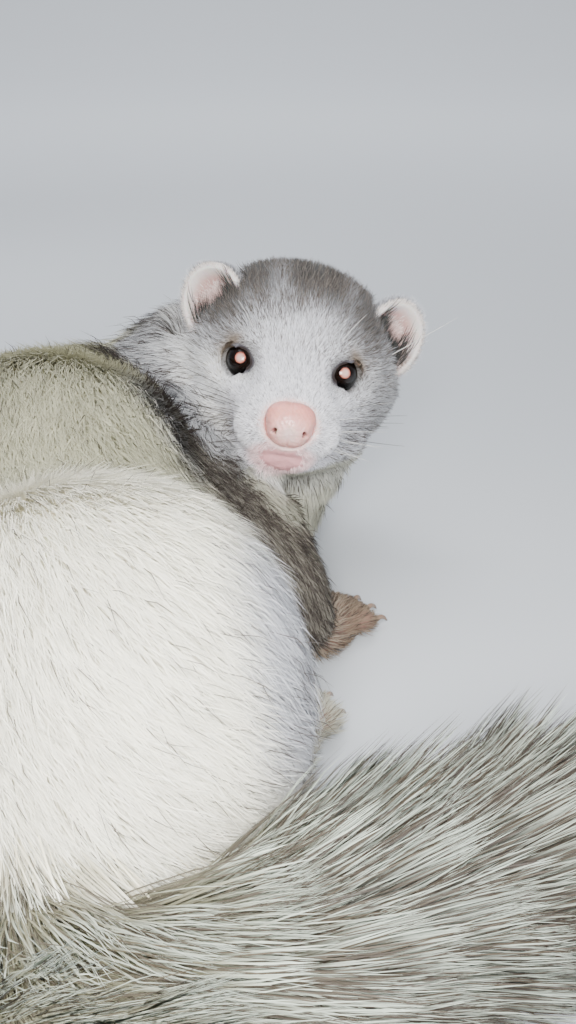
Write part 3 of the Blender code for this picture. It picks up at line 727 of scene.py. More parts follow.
def bare_at(points):
    """1 where no hair grows: lids, eyes, nose and lips."""
    local = to_head(points)
    bare = lip_share(local)
    for s in (1, -1):
        eye = eye_local(points, s)
        near = ((eye @ lid_axes(s).T)[:, 1] > -2) & (np.linalg.norm(eye, axis=1) < 11)
        ring = lid_measure(eye, s) + 0.15 * smooth(eye[:, 2], 0.5, 3)
        bare = np.maximum(bare, near * smooth(ring, 1.68, 1.52))
    pad = np.linalg.norm((local - NOSE_CENTRE) / (5.4, 3.9, 4.8), axis=1)
    bare = np.maximum(bare, smooth(pad, 1.1, 1.02))
    cleft = smooth(np.abs(local[:, 0]), 2.6, 1.6) * smooth(local[:, 1], 19, 22) * smooth(local[:, 2], -9, -11)
    return np.maximum(bare, cleft * smooth(local[:, 2], -19, -17.5))


# ---- materials ----
def new_material(name, roughness, sheen=0.0, coat=0.0, bump=0.0, scale=400, stretch=None, vary=0.12, scatter=0.0, specular=0.4):
    """Colour from the mesh's own tint, mottled and roughened by noise."""
    material = bpy.data.materials.new(name)
    material.use_nodes = True
    nodes, links = material.node_tree.nodes, material.node_tree.links
    shader = nodes["Principled BSDF"]
    shader.inputs["Roughness"].default_value = roughness
    shader.inputs["Sheen Weight"].default_value = sheen
    shader.inputs["Coat Weight"].default_value = coat
    shader.inputs["Coat Roughness"].default_value = 0.06
    shader.inputs["Specular IOR Level"].default_value = specular
    shader.inputs["Subsurface Weight"].default_value = scatter
    shader.inputs["Subsurface Scale"].default_value = 0.0015
    tint = nodes.new("ShaderNodeAttribute")
    tint.attribute_name = "tint"
    place = nodes.new("ShaderNodeTexCoord")
    noise = nodes.new("ShaderNodeTexNoise")
    noise.inputs["Scale"].default_value = scale
    noise.inputs["Detail"].default_value = 4
    links.new(place.outputs["Object"], noise.inputs["Vector"])
    level = nodes.new("ShaderNodeMapRange")
    level.inputs["To Min"].default_value = 1 - vary
    level.inputs["To Max"].default_value = 1 + vary
    links.new(noise.outputs["Fac"], level.inputs["Value"])
    shade = nodes.new("ShaderNodeVectorMath")
    shade.operation = "SCALE"
    links.new(tint.outputs["Color"], shade.inputs[0])
    links.new(level.outputs["Result"], shade.inputs["Scale"])
    links.new(shade.outputs["Vector"], shader.inputs["Base Color"])
    if bump:
        relief = nodes.new("ShaderNodeBump")
        relief.inputs["Strength"].default_value = bump
        relief.inputs["Distance"].default_value = 0.0003
        links.new(noise.outputs["Fac"], relief.inputs["Height"])
        links.new(relief.outputs["Normal"], shader.inputs["Normal"])
    return material


def set_tint(mesh, colour):
    colour = np.asarray(colour, float)
    if colour.ndim == 1:
        colour = np.tile(colour, (len(mesh.vertices), 1))
    layer = mesh.color_attributes.new("tint", "FLOAT_COLOR", "POINT")
    four = np.ones((len(mesh.vertices), 4), np.float32)
    four[:, :3] = np.clip(colour, 0, 1)
    layer.data.foreach_set("color", four.ravel())


def unwrap(skin):
    """The skin's own unwrap, and its place for each point."""
    mesh = skin.data
    mesh.uv_layers.new(name="OFBake")
    bpy.context.view_layer.objects.active = skin
    skin.select_set(True)
    bpy.ops.object.mode_set(mode="EDIT")
    bpy.ops.mesh.select_all(action="SELECT")
    bpy.ops.uv.smart_project(angle_limit=math.radians(66), island_margin=0.004)
    bpy.ops.object.mode_set(mode="OBJECT")
    skin.select_set(False)


# ---- hair ----
def triangles_of(mesh):
    mesh.calc_loop_triangles()
    corners = np.empty(len(mesh.loop_triangles) * 3, np.int32)
    mesh.loop_triangles.foreach_get("vertices", corners)
    loops = np.empty(len(mesh.loop_triangles) * 3, np.int32)
    mesh.loop_triangles.foreach_get("loops", loops)
    return corners.reshape(-1, 3), loops.reshape(-1, 3)


def scatter(points, corners, weight, count):
    """Random places on the triangles, as face numbers and the three corners' shares."""
    a, b, c = (points[corners[:, i]] for i in range(3))
    area = np.linalg.norm(np.cross(b - a, c - a), axis=1) * weight[corners].mean(1)
    edges = np.cumsum(area)
    face = np.searchsorted(edges, (np.arange(count) + chance.random(count)) / count * edges[-1])
    face = np.minimum(face, len(corners) - 1)
    u, v = np.sqrt(chance.random(count)), chance.random(count)
    return face, np.stack([1 - u, u * (1 - v), u * v], 1)


class Coat:
    """The skin's points, fields and triangles, read by each patch of hair."""

    def __init__(self, skin, weights):
        mesh = skin.data
        self.points, self.normals = points_of(mesh), normals_of(mesh)
        self.weights = weights
        self.corners, self.loops = triangles_of(mesh)
        links = neighbour_links(mesh)
        self.way = coat_way(self.points, self.normals, weights, links)
        self.bend = bend_along(self.points, self.normals, self.way, links)
        self.length = hair_length(self.points, weights)
        self.depth = coat_depth(self.points, weights)
        self.root, self.tip, self.dark = markings(self.points, weights)
        self.bare = bare_at(self.points)
        uv = np.empty(len(mesh.loops) * 2, np.float32)
        mesh.uv_layers["OFBake"].data.foreach_get("uv", uv)
        self.uv = uv.reshape(-1, 2)

    def at(self, values, face, share):
        picked = values[self.corners[face]]
        return (picked * (share[:, :, None] if picked.ndim == 3 else share)).sum(1)


def clumped(tips, roots, size, strength):
    """The tips drawn together towards the tip in the middle of their clump, and each one's clump."""
    centres = chance.choice(len(roots), max(1, len(roots) // size), replace=False)
    tree = KDTree(len(centres))
    for i, place in enumerate(roots[centres].tolist()):
        tree.insert(place, i)
    tree.balance()
    owner = np.array([tree.find(place)[1] for place in roots.tolist()])
    return mix(tips, tips[centres[owner]], np.clip(strength, 0, 0.92)), owner


def strips(name, lines, levels, widths, colour, normals, twist, place, material, ramp=(0.05, 0.75)):
    """One mesh of flat tapered strips: each follows its row of points, and ends in a tip."""
    count, rings = lines.shape[:2]
    per = 2 * rings - 1
    along = unit(lines[:, -1] - lines[:, 0])
    across = unit(np.cross(normals, along))
    out = np.cross(along, across)
    turn = chance.uniform(-twist, twist, count)[:, None]
    across = across * np.cos(turn) + out * np.sin(turn)
    made, shading = np.empty((count, per, 3)), np.empty((count, per, 3))
    facing = unit(np.cross(along, across) * 0.65 + normals * 0.35)
    for i, wide in enumerate(np.interp(levels[:-1], (0, 0.4, 0.8), (0.7, 1.0, 0.7))):
        half = across * (widths * wide / 2)[:, None]
        made[:, 2 * i], made[:, 2 * i + 1] = lines[:, i] - half, lines[:, i] + half
        shading[:, 2 * i], shading[:, 2 * i + 1] = unit(facing - across * 0.3), unit(facing + across * 0.3)
    made[:, -1], shading[:, -1] = lines[:, -1], facing
    low, high = np.array(CAD_BOX[0]) / MM + 0.15, np.array(CAD_BOX[1]) / MM - 0.15
    made = np.clip(made, np.maximum(low, (-1e9, -1e9, 0.2)), high)
    steps = np.concatenate([np.repeat(levels[:-1], 2), [1.0]])
    tint = np.ones((count, per, 4), np.float32)
    root, tip = colour
    low_share, high_share = ramp
    tint[:, :, :3] = root[:, None] + (tip - root)[:, None] * smooth(steps, low_share, high_share)[None, :, None]
    corners = [(2 * i, 2 * i + 2, 2 * i + 3, 2 * i + 1) for i in range(rings - 2)]
    corners = np.concatenate([*corners, (per - 3, per - 1, per - 2)]).astype(int)
    loops = (np.arange(count)[:, None] * per + corners).ravel().astype(np.int32)
    firsts = (np.arange(count)[:, None] * len(corners) + np.arange(rings - 1) * 4).ravel()
    mesh = bpy.data.meshes.new(name)
    mesh.vertices.add(count * per)
    mesh.loops.add(len(loops))
    mesh.polygons.add(len(firsts))
    mesh.vertices.foreach_set("co", (made * MM).astype(np.float32).ravel())
    mesh.loops.foreach_set("vertex_index", loops)
    mesh.polygons.foreach_set("loop_start", firsts.astype(np.int32))
    mesh.polygons.foreach_set("use_smooth", np.ones(len(firsts), bool))
    mesh.update(calc_edges=True)
    patch = np.stack([np.append(np.tile((-0.5, 0.5), rings - 1), 0.0), steps], 1) * 0.003
    flat = np.clip((place[:, None] + patch).reshape(-1, 2)[loops], 0, 1)
    mesh.uv_layers.new(name="OFBake").data.foreach_set("uv", flat.astype(np.float32).ravel())
    layer = mesh.color_attributes.new("tint", "FLOAT_COLOR", "POINT")
    layer.data.foreach_set("color", np.clip(tint, 0, 1).ravel())
    mesh.normals_split_custom_set_from_vertices(shading.reshape(-1, 3).tolist())
    mesh.materials.append(material)
    tufts = add_object(name, mesh)
    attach(tufts, "root")
    return tufts


def hair(name, coat, kinds, count, width, steps=3, size=22, gather=0.4, only=1.0, material=None):
    """One mesh of flat tapered tufts over some kinds of skin. only is a share at each of its points."""
    weight = kind(coat.weights, *kinds) * (1 - coat.bare) * only
    weight = np.where(weight > 0.02, weight, 0)
    close = 1 / np.maximum(coat.length, 1.5) ** 0.7
    face, share = scatter(coat.points, coat.corners, weight * close, count)

    def at(values):
        return coat.at(values, face, share)

    roots, normal = at(coat.points), unit(at(coat.normals))
    way = at(coat.way)
    way = unit(way - normal * (way * normal).sum(1, keepdims=True))
    side = np.cross(normal, way)
    dark = chance.random(count) < at(coat.dark)
    length = at(coat.length) * chance.uniform(0.7, 1.12, count) * np.where(dark, 1.1, 1.0)
    depth, bend = at(coat.depth), at(coat.bend)
    tail, head = kind(at(coat.weights), "tail"), kind(at(coat.weights), "head")
    swerve = chance.normal(0, 0.15 + 0.13 * (1 - tail), count) + 0.2 * blotches(roots, 19)
    ahead = unit(way + side * swerve[:, None])
    lean = np.interp(along_tail(roots), (0.15, 0.4, 0.7, 1.0), (50, 38, 26, 12)) * chance.uniform(0.5, 1.15, count)
    rise = depth * chance.uniform(0.7, 1.35, count) * (1 + 0.4 * head) * np.where(chance.random(count) < 0.1, 1.4, 1.0)
    rise = rise * np.where(dark, 1.25 + 0.2 * (1 - head), 1.0)
    rise = np.where(head > 0.5, np.minimum(rise, 0.6 * length), np.maximum(rise, 0.3 * length * (tail < 0.5)))
    rise = rise * (1 - tail) + tail * length * np.sin(np.radians(lean))
    run = np.sqrt(np.maximum(length**2 - rise**2, (0.3 * length) ** 2))
    fall = 0.5 * bend * (1 - tail) * run**2
    tips = roots + ahead * run[:, None] + normal * (rise - fall)[:, None]
    tips, owner = clumped(tips, roots, size, gather * chance.uniform(0.3, 1.3, count))
    start = roots - normal * 0.35
    arch = 0.24 * rise * (1 - 0.6 * tail) + np.maximum(fall, 0) * 0.3
    control = 0.5 * (start + tips) + normal * (2 * arch)[:, None]
    levels = np.linspace(0, 1, steps)
    line = [start * (1 - t) ** 2 + control * 2 * t * (1 - t) + tips * t**2 for t in levels]
    wide = width * chance.uniform(0.7, 1.3, count) * np.where(dark, 0.75, 1.0)
    # Each tuft a little lighter or darker, and each clump too.
    clump_shade = chance.normal(1, 0.05 + 0.08 * (gather > 0.5), int(owner.max()) + 1)[owner]
    shade = (chance.normal(1, 0.06 + 0.08 * head, count) * clump_shade)[:, None]
    ink = mix(np.tile(TINT["dark"], (count, 1)), TINT["fleck"], head * chance.random(count))
    ink = mix(ink, TINT["umber"], tail * chance.random(count))
    root = np.where(dark[:, None], mix(at(coat.root), ink, np.full(count, 0.75)), at(coat.root) * shade)
    tip = np.where(dark[:, None], ink, at(coat.tip) * shade)
    place = (coat.uv[coat.loops[face]] * share[:, :, None]).sum(1)
    ramp = (0.42, 1.0) if steps > 3 else (0.05, 0.75)
    return strips(name, np.stack(line, 1), levels, wide, (root, tip), normal, 0.8, place, material, ramp)


# ---- eyes, nose, ears, claws, whiskers ----
def make_eye(side, material):
    """A glossy eyeball: dark iris, round a rosy eye-shine of the flash that is painted into its middle."""
    name = "eye_right" if side == 1 else "eye_left"
    turns, rows = 64, 48
    points, faces = ellipsoid((0, 0, 0), (EYE_RADIUS,) * 3, turns, rows)
    spin = points[:, [0, 2, 1]] * (1, 1, -1)
    gaze = unit(np.array((-0.35 * side, 0.89, 0.29)))
    angle = np.arccos(np.clip(unit(spin) @ gaze, -1, 1))
    reach = EYE_RADIUS * angle
    cornea = 0.35 * np.exp(-((reach / 2.6) ** 2))
    spin = spin * (1 + (cornea / EYE_RADIUS)[:, None])
    # The rosy middle and its ring are painted eye-shine of the flash.
    dark, iris, painted_eyeshine = np.array(((0.002, 0.0015, 0.0015), (0.008, 0.004, 0.003), (0.72, 0.47, 0.42)))
    colour = mix(np.tile(dark, (len(spin), 1)), iris, smooth(reach, 3.0, 2.0) * smooth(reach, 1.2, 1.8))
    colour = mix(colour, painted_eyeshine * (0.85, 0.42, 0.35), smooth(reach, 1.3, 1.05))
    colour = mix(colour, painted_eyeshine, smooth(reach, 1.15, 0.4))
    mesh = mesh_from(f"eyeball_{name}", from_eye(spin, side), faces)
    set_tint(mesh, colour)
    mesh.materials.append(material)
    eye = add_object(f"eyeball_{'right' if side == 1 else 'left'}", mesh)
    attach(eye, "root")
    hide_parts(name)
    return eye


def make_nose(material):
    """The nose pad: two comma nostrils with soft wings, the groove between them and a pebbled hide."""
    points, faces = ellipsoid((0, 0, 0), (5.1, 4.2, 4.85), 160, 120)
    out = unit(points / np.array((5.1, 4.2, 4.85)) ** 2)
    # Squarer than round, and wider above.
    corner = np.abs(points[:, 0] * points[:, 2]) / 26
    points = points * (1 + 0.3 * corner[:, None] * (1, 0, 1) * 0.75)
    points[:, 0] *= 1 + 0.03 * points[:, 2]
    ahead = smooth(points[:, 1], -0.5, 1.5)
    groove = 0.12 * np.exp(-((points[:, 0] / 0.3) ** 2)) * smooth(points[:, 2], -0.6, -2.6)
    valley = 0.1 * np.exp(-((points[:, 0] / 1.3) ** 2)) * smooth(points[:, 2], 0.4, -2.6)
    holes, rims = np.zeros(len(points)), np.zeros(len(points))
    for side in (1, -1):
        slit = np.array([(3.05, 3.25, -0.5), (3.3, 3.1, -1.1), (3.85, 2.7, -1.5)]) * (side, 1, 1)
        away, _, along = near_line(points, slit)
        wide = np.interp(along, (0, 0.5, 1), (0.45, 0.7, 0.35))
        holes += 2.2 * smooth(away, wide, wide * 0.35)
        wing = np.linalg.norm(points - (3.6 * side, 2.7, 0.6), axis=1)
        rims += 0.3 * np.exp(-((wing / 1.6) ** 2)) + 0.12 * np.exp(-(((away - wide - 0.3) / 0.4) ** 2))
    pebble = 0.06 * blotches(points, 0.9) + 0.05 * blotches(points[:, [1, 2, 0]], 0.55)
    moved = points + out * (rims + pebble * (holes < 0.2) - groove - valley - holes)[:, None] * ahead[:, None]
    colour = mix(np.tile(TINT["nose"], (len(points), 1)), TINT["nose"] * (0.92, 0.76, 0.72), smooth(points[:, 2], -1, 3.5))
    # Painted highlight: the pad is painted pale round its lower middle.
    colour = mix(colour, TINT["pale_pink"], 0.9 * np.exp(-(np.linalg.norm(points - (0.2, 4, -1.4), axis=1) / 2.8) ** 2))
    # Painted shade: the groove and the back of the pad, turned from the light, are painted darker.
    colour = mix(colour, TINT["nose"] * (0.8, 0.62, 0.6), np.clip(groove * 1.3 + smooth(points[:, 1], 2.6, 0.6) * 0.6, 0, 1))
    # Painted shade: the nostrils' hollows are painted near black.
    colour = mix(colour, np.array((0.07, 0.015, 0.015)), smooth(holes, 0.03, 0.5))
    colour = colour * (1 + 0.06 * blotches(points, 2.3))[:, None]
    mesh = mesh_from("nose_pad", from_head(moved + np.array(NOSE_CENTRE)), faces)
    set_tint(mesh, colour)
    mesh.materials.append(material)
    nose = add_object("nose_pad", mesh)
    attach(nose, "root")
    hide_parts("nose")


EAR_CENTRES = {1: (21.0, -19.0, 9.4), -1: (-25.8, -21.0, 7.0)}
EAR_HALF_WIDTH, EAR_HALF_HEIGHT, EAR_DEPTH, EAR_WALL = 8.9, 10.2, 7.2, 1.5
EAR_HOLLOW = 4.6
EAR_OPENING, EAR_RISE = (0.42, 0.9, 0.08), (0.42, 0.05, 0.9)


def ear_place(side):
    """Origin and axes of an ear: across, out of the cup, up."""
    ahead = unit(np.array((EAR_OPENING[0] * side, *EAR_OPENING[1:])))
    rise = np.array((EAR_RISE[0] * side, *EAR_RISE[1:]))
    rise = unit(rise - ahead * (rise @ ahead))
    return np.array(EAR_CENTRES[side], float), np.array([np.cross(ahead, rise), ahead, rise])


def ear_ring(slope, inset, turns):
    """One ring of the cup, in the ear's own frame."""
    x = (EAR_HALF_WIDTH - inset) * math.sin(slope) * np.cos(turns)
    y = np.full(len(turns), -(EAR_DEPTH - inset) * math.cos(slope))
    z = (EAR_HALF_HEIGHT - inset) * math.sin(slope) * np.sin(turns)
    return np.stack([x, y, z], 1)


def ear_dish(reach, turns):
    """Places on the shallow hollow of the cup: reach is 1 at its edge."""
    x = (EAR_HALF_WIDTH - EAR_WALL) * reach * np.cos(turns)
    z = (EAR_HALF_HEIGHT - EAR_WALL) * reach * np.sin(turns)
    return np.stack([x, EAR_HOLLOW * (np.abs(reach) ** 2.4 - 1) + 0 * x, z], 1)


def make_ear(side, hide, fur):
    """A cupped ear with a soft thick rim and low folds inside, and its coat."""
    turns = np.arange(72) * 2 * math.pi / 72
    rings, inside = [], []
    for slope in np.linspace(0.05, math.pi / 2, 24):
        rings.append(ear_ring(slope, 0, turns))
        inside.append(0.0)
    edge, inner = rings[-1], ear_ring(math.pi / 2, EAR_WALL, turns)
    for share in np.linspace(0.2, 0.8, 4):
        middle = edge + (inner - edge) * share
        middle[:, 1] += 0.6 * math.sin(share * math.pi)
        rings.append(middle)
        inside.append(0.5)
    for reach in np.linspace(1, 0.05, 26):
        ring = ear_dish(reach, turns)
        ring[:, 1] += 0.3 * np.sin(turns * 5 + 3 * reach) * reach * (1 - reach) * (np.sin(turns) < 0.6)
        rings.append(ring)
        inside.append(1.0)
    points, faces = loft(rings)
    level = np.append(np.repeat(inside, 72), (0.0, 1.0))
    colour = np.tile(TINT["ear_edge"], (len(points), 1))
    colour = mix(colour, TINT["ear_mid"], smooth(points[:, 1], 0.2, -2.6) * (level > 0.9))
    low = smooth(points[:, 2], 2.5, -4.5)
    # Painted shade: the cup is painted darker deep inside and towards its base, partly the base's own grey-brown.
    colour = mix(colour, TINT["ear_deep"], np.maximum(smooth(points[:, 1], -2.6, -4.6) * 0.6, low) * (level > 0.9))
    place, axes = ear_place(side)
    word = "right" if side == 1 else "left"
    mesh = mesh_from(f"ear_{word}_cup", from_head(points @ axes + place), faces)
    set_tint(mesh, colour)
    mesh.materials.append(hide)
    ear = add_object(f"ear_{word}_cup", mesh)
    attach(ear, "root")
    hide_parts(f"ear_{word}")
    ear_coat(side, f"coat_ear_{word}", fur)


def ear_coat(side, name, material):
    """Short dense hair on the back and rim of an ear, thin hair inside, and strands over its base."""
    counts = {"back": 4500, "rim": 5500, "inside": 7500, "base": 1100}
    starts, ways, outs, lengths, roots, tips = [], [], [], [], [], []
    for part, count in counts.items():
        turn = chance.uniform(0, 2 * math.pi, count)
        slope = np.arccos(1 - chance.random(count) ** 0.7)
        inset = EAR_WALL if part in ("inside", "base") else 0.0
        if part == "rim":
            slope = math.pi / 2 - np.abs(chance.normal(0, 0.10, count))
            inset = chance.uniform(0, EAR_WALL, count)
        if part == "base":
            turn = math.radians(250) * side + (math.pi if side == -1 else 0) + chance.normal(0, 0.65, count)
        start = np.stack([
            (EAR_HALF_WIDTH - inset) * np.sin(slope) * np.cos(turn),
            -(EAR_DEPTH - inset) * np.cos(slope),
            (EAR_HALF_HEIGHT - inset) * np.sin(slope) * np.sin(turn),
        ], 1)
        if part in ("inside", "base"):
            slope = np.sqrt(chance.uniform(0.03 if part == "inside" else 0.3, 1, count))
            start = ear_dish(slope, turn)
        flat = unit(start * (1, 0, 1))
        out = unit(start / np.array((EAR_HALF_WIDTH, EAR_DEPTH, EAR_HALF_HEIGHT)) ** 2)
        if part == "back":
            way = flat * 0.5 + (0, 0.25, 0.6) + out * 0.3
            colour = (TINT["grey_root"], TINT["silver_tip"])
        elif part == "rim":
            out = unit(flat * 0.6 + (0, 0.8, 0))
            way = flat * 0.6 + (0, 0.7, 0.3)
            colour = (TINT["ear_edge"] * 0.9, TINT["ear_edge"])
        elif part == "inside":
            out = unit((0, 1.0, 0) - flat * 0.8 * slope[:, None])
            way = flat * 0.8 + (0, 0.45, 0.35) + out * 0.2
            edge = smooth(slope + 0.25 * np.sin(turn), 0.45, 0.95)[:, None]
            colour = [mix(TINT["ear_mid"], TINT["ear_edge"], share) for share in (edge * 0.8, 0.4 + 0.6 * edge)]
        else:
            out = np.tile((0.0, 1.0, 0.0), (count, 1))
            way = np.array((0, 0.35, 1.0)) - flat * 0.25
            colour = (TINT["arm_root"], TINT["crown_tip"])
        length = {"back": 2.2, "rim": 1.4, "inside": 2.0, "base": 7.5}[part] * chance.uniform(0.5, 1.2, count)
        shade = chance.normal(1, 0.13, count)[:, None]
        starts.append(start - out * 0.2)
        ways.append(unit(way + chance.normal(0, 0.14, (count, 3))))
        outs.append(out)
        lengths.append(length)
        roots.append(colour[0] * shade)
        tips.append(colour[1] * shade)
    start, way, out = np.vstack(starts), np.vstack(ways), np.vstack(outs)
    length = np.concatenate(lengths)[:, None]
    middle = start + way * length * 0.5 + out * length * 0.1
    lines = np.stack([start, middle, start + way * length], 1)
    place, axes = ear_place(side)
    world = from_head(lines.reshape(-1, 3) @ axes + place).reshape(lines.shape)
    spread = 0.5 + 0.42 * start[:, [0, 2]] / 12
    colour = (np.vstack(roots), np.vstack(tips))
    levels = np.array((0, 0.5, 1.0))
    wide = np.full(len(start), 0.17)
    strips(name, world, levels, wide, colour, out @ axes @ HEAD_AXES, 0.8, spread, material)


def make_claws(material):
    made = []
    for name in PAWS:
        parts = []
        shades = []
        for line in paw_parts(name)[1]:
            rows = np.column_stack([between(line, 5), np.interp(np.linspace(0, 1, 16), (0, 0.3, 0.8, 1), (0.8, 0.7, 0.35, 0.12))])
            ways = unit(np.gradient(rows[:, :3], axis=0))
            turns = np.arange(14) * 2 * math.pi / 14
            rings = []
            for row, way in zip(rows, ways):
                side = unit(np.cross(way, (0.0, 0.0, 1.0)))
                up = np.cross(side, way)
                rings.append([row[:3] + row[3] * (0.75 * math.cos(a) * side + math.sin(a) * up) for a in turns])
            points, faces = loft(rings)
            parts.append((points, faces))
            shades.append(np.concatenate([np.repeat(np.linspace(0, 1, 16), 14), [0, 1]]))
        points, faces = joined(parts)
        points[:, 2] = np.maximum(points[:, 2], 0.1)
        mesh = mesh_from(f"claws_{name}", points, faces)
        t = np.concatenate(shades)
        set_tint(mesh, mix(np.tile(TINT["claw_root"], (len(points), 1)), TINT["claw_tip"], t))
        mesh.materials.append(material)
        claws = add_object(f"claws_{name}", mesh)
        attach(claws, "root")
        made.append(claws)
    return made


def make_whiskers(material):
    """Long stiff hairs in rows on both whisker pads, and a few over the eyes."""
    parts, shades = [], []
    for side in (1, -1):
        for row in range(4):
            for col in range(5):
                start = np.array((side * (4.6 + 0.9 * col * 0.8 + 0.5 * row), 20.5 - 2.6 * col, -8.2 - 1.5 * row + 0.2 * col))
                long = ((13 if side == 1 else 8) + 4.0 * col) * chance.uniform(0.8, 1.15)
                way = unit(np.array((side * (1.0 + 0.05 * col), 0.3 - 0.2 * col, 0.45 - 0.22 * row)) + chance.normal(0, 0.08, 3))
                droop = np.array((0, -0.22, -0.16 + 0.05 * row)) * long
                parts.append((start, way, long, droop))
        for k in range(3):
            start = np.array((side * (9.5 + 1.3 * k), 2.0 - 1.2 * k, 6.6 + 0.5 * k))
            way = unit(np.array((side * (0.35 + 0.2 * k), 0.25, 0.9)))
            parts.append((start, way, 10 * chance.uniform(0.8, 1.2), np.array((side * 2.0, -3.0, -0.5))))
    parts.append((np.array((-24.0, -6, 6)), unit(np.array((-0.75, 0.1, 0.62))), 17.0, np.array((-1.0, -1.5, 0.5))))
    meshes = []
    for start, way, long, droop in parts:
        t = np.linspace(0, 1, 12)
        line = start + way * (long * t)[:, None] + droop * (t**2)[:, None]
        rows = np.column_stack([line, 0.09 * (1 - t) ** 0.8 + 0.025])
        ways = unit(np.gradient(line, axis=0))
        turns = np.arange(5) * 2 * math.pi / 5
        rings = []
        for row, direction in zip(rows, ways):
            a = unit(np.cross(direction, (0.1, 0.2, 1.0)))
            b = np.cross(a, direction)
            rings.append([row[:3] + row[3] * (math.cos(q) * a + math.sin(q) * b) for q in turns])
        points, faces = loft(rings)
        meshes.append((points, faces))
        dark = chance.random() < (0.8 if start[0] > 0 else 0.3)
        tone = np.array((0.08, 0.07, 0.065)) if dark else np.array((0.7, 0.69, 0.68))
        shades.append(np.tile(tone, (len(points), 1)))
    points, faces = joined(meshes)
    world = from_head(points)
    low, high = np.array(CAD_BOX[0]) / MM + 0.2, np.array(CAD_BOX[1]) / MM - 0.2
    world = np.clip(world, low, high)
    mesh = mesh_from("whiskers", world, faces)
    set_tint(mesh, np.vstack(shades))
    mesh.materials.append(material)
    whiskers = add_object("whiskers", mesh)
    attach(whiskers, "root")
    return whiskers


TINT.update(colours(
    nose=(238, 174, 166), ear_deep=(132, 108, 102), claw_root=(160, 132, 112), claw_tip=(112, 94, 80),
))


# ---- stage ----
def make_stage():
    data = bpy.data.cameras.new("camera")
    data.lens = CAMERA_LENS
    data.sensor_width = 36
    data.clip_start = 0.005
    camera = add_object("camera", data)
    camera.location = Vector(CAMERA_PLACE) * MM
    camera.rotation_euler = (math.radians(90 - CAMERA_DOWN), 0, 0)
    bpy.context.scene.camera = camera
    turns = np.arange(96) * 2 * math.pi / 96
    rings = []
    for a in np.linspace(0, math.pi / 2, 14):
        reach, rise = 1500 + 2500 * math.sin(a), 2500 * (1 - math.cos(a)) - 0.2
        rings.append(np.stack([reach * np.cos(turns), reach * np.sin(turns), np.full(96, rise)], 1))
    rings.append(rings[-1] + (0, 0, 500))
    rings = np.array(rings)
    faces = [tuple(range(96))]
    for i in range(len(rings) - 1):
        for j in range(96):
            k = (j + 1) % 96
            faces.append((i * 96 + k, i * 96 + j, (i + 1) * 96 + j, (i + 1) * 96 + k))
    mesh = mesh_from("floor", rings.reshape(-1, 3), faces)
    material = bpy.data.materials.new("floor_pale")
    material.use_nodes = True
    shader = material.node_tree.nodes["Principled BSDF"]
    shader.inputs["Base Color"].default_value = (0.58, 0.61, 0.65, 1)
    shader.inputs["Roughness"].default_value = 0.9
    mesh.materials.append(material)
    add_object("floor", mesh)
    world = bpy.data.worlds.new("studio")
    bpy.context.scene.world = world
    world.use_nodes = True
    world.node_tree.nodes["Background"].inputs["Color"].default_value = (0.93, 0.96, 1.0, 1)
    world.node_tree.nodes["Background"].inputs["Strength"].default_value = 0.26
    lights = (
        ("key", (46, -190, 162), (40, 0, 35), 1.35, 90, (1.0, 0.99, 0.96)),
        ("fill", (330, -120, 330), (40, 0, 30), 0.35, 260, (0.95, 0.97, 1.0)),
        ("back", (-150, 330, 300), (30, 20, 40), 0.5, 240, (1.0, 1.0, 1.0)),
        ("room", (0, 500, 1500), (0, 500, 0), 11.0, 1400, (0.97, 0.98, 1.0)),
        ("wall", (0, 900, 1900), (0, 3300, 250), 60.0, 1200, (0.97, 0.98, 1.0)),
    )
    for name, place, aim, power, size, colour in lights:
        light = bpy.data.lights.new(name, "AREA")
        light.energy, light.size, light.color = power, size * MM, colour
        lamp = add_object(name, light)
        lamp.location = Vector(place) * MM
        way = (Vector(aim) - Vector(place)).normalized()
        lamp.rotation_euler = way.to_track_quat("-Z", "Y").to_euler()


import time

T0 = time.time()


def stamp(word):
    print("TIME", word, round(time.time() - T0, 1), flush=True)


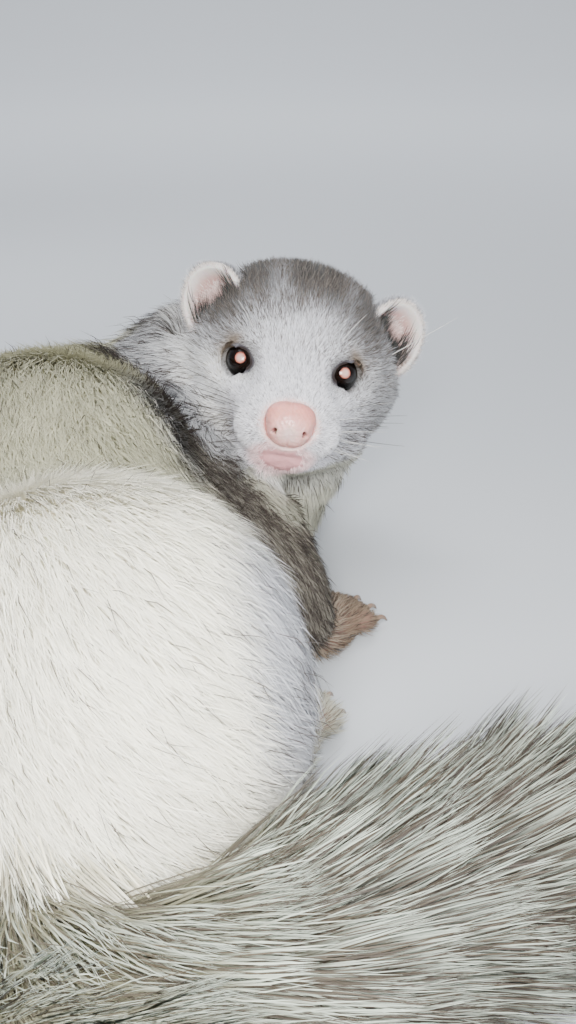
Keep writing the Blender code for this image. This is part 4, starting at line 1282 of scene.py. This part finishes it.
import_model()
CAD_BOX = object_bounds()
HEAD_ORIGIN, HEAD_AXES = head_axes()
make_stage()
skin, weights = make_skin()
stamp(f"skin {len(skin.data.vertices)} {len(skin.data.polygons)}")
unwrap(skin)
stamp("unwrap")
coat = Coat(skin, weights)
stamp("fields")
set_tint(skin.data, skin_colour(coat.points, weights, coat.root, coat.dark))
skin_material = new_material("hide", 0.55, bump=0.6, scale=900, vary=0.15, scatter=0.05)
skin.data.materials.append(skin_material)
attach(skin, "root")
flesh = [name for k in KINDS for name in KINDS[k]]
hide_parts(*flesh)
fur = new_material("hair", 0.62, sheen=0.0, scale=500, vary=0.10, specular=0.3)
wet = new_material("eyeball", 0.05, scale=1500, vary=0.15, specular=0.45)
pad = new_material("nose_hide", 0.42, coat=0.25, bump=0.5, scale=1800, vary=0.08, scatter=0.25)
hide = new_material("ear_hide", 0.55, bump=0.4, scale=1300, vary=0.1, scatter=0.3)
horn = new_material("horn", 0.35, coat=0.2, bump=0.15, scale=1200, vary=0.12)
wire = new_material("whisker", 0.45, scale=900, vary=0.1)
for side in (1, -1):
    make_eye(side, wet)
    make_ear(side, hide, fur)
make_nose(pad)
make_claws(horn)
make_whiskers(wire)
stamp("parts")
far = coat.points[:, 1]
parts = {
    "coat_chest": (("trunk", "thigh"), 50000, 0.19, far > 22),
    "coat_loin": (("trunk", "thigh"), 56000, 0.17, (far > -32) & (far <= 22)),
    "coat_rump": (("trunk", "thigh"), 60000, 0.16, far <= -32),
}
for name, (kinds, count, width, only) in parts.items():
    hair(name, coat, kinds, count, width, only=only * 1.0, size=18, gather=0.2, material=fur)
for name in ("coat_head_1", "coat_head_2"):
    hair(name, coat, ("head",), 56000, 0.15, size=10, gather=0.25, material=fur)
hair("coat_neck", coat, ("neck",), 28000, 0.25, size=24, gather=0.3, material=fur)
hair("coat_legs", coat, ("arm",), 22000, 0.22, size=18, gather=0.35, material=fur)
hair("coat_paws", coat, ("paw",), 16000, 0.14, size=12, gather=0.2, material=fur)
for name in ("coat_tail_1", "coat_tail_2"):
    hair(name, coat, ("tail",), 25000, 0.26, steps=5, size=60, gather=0.75, material=fur)
stamp("coat")
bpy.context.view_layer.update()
stamp("end")
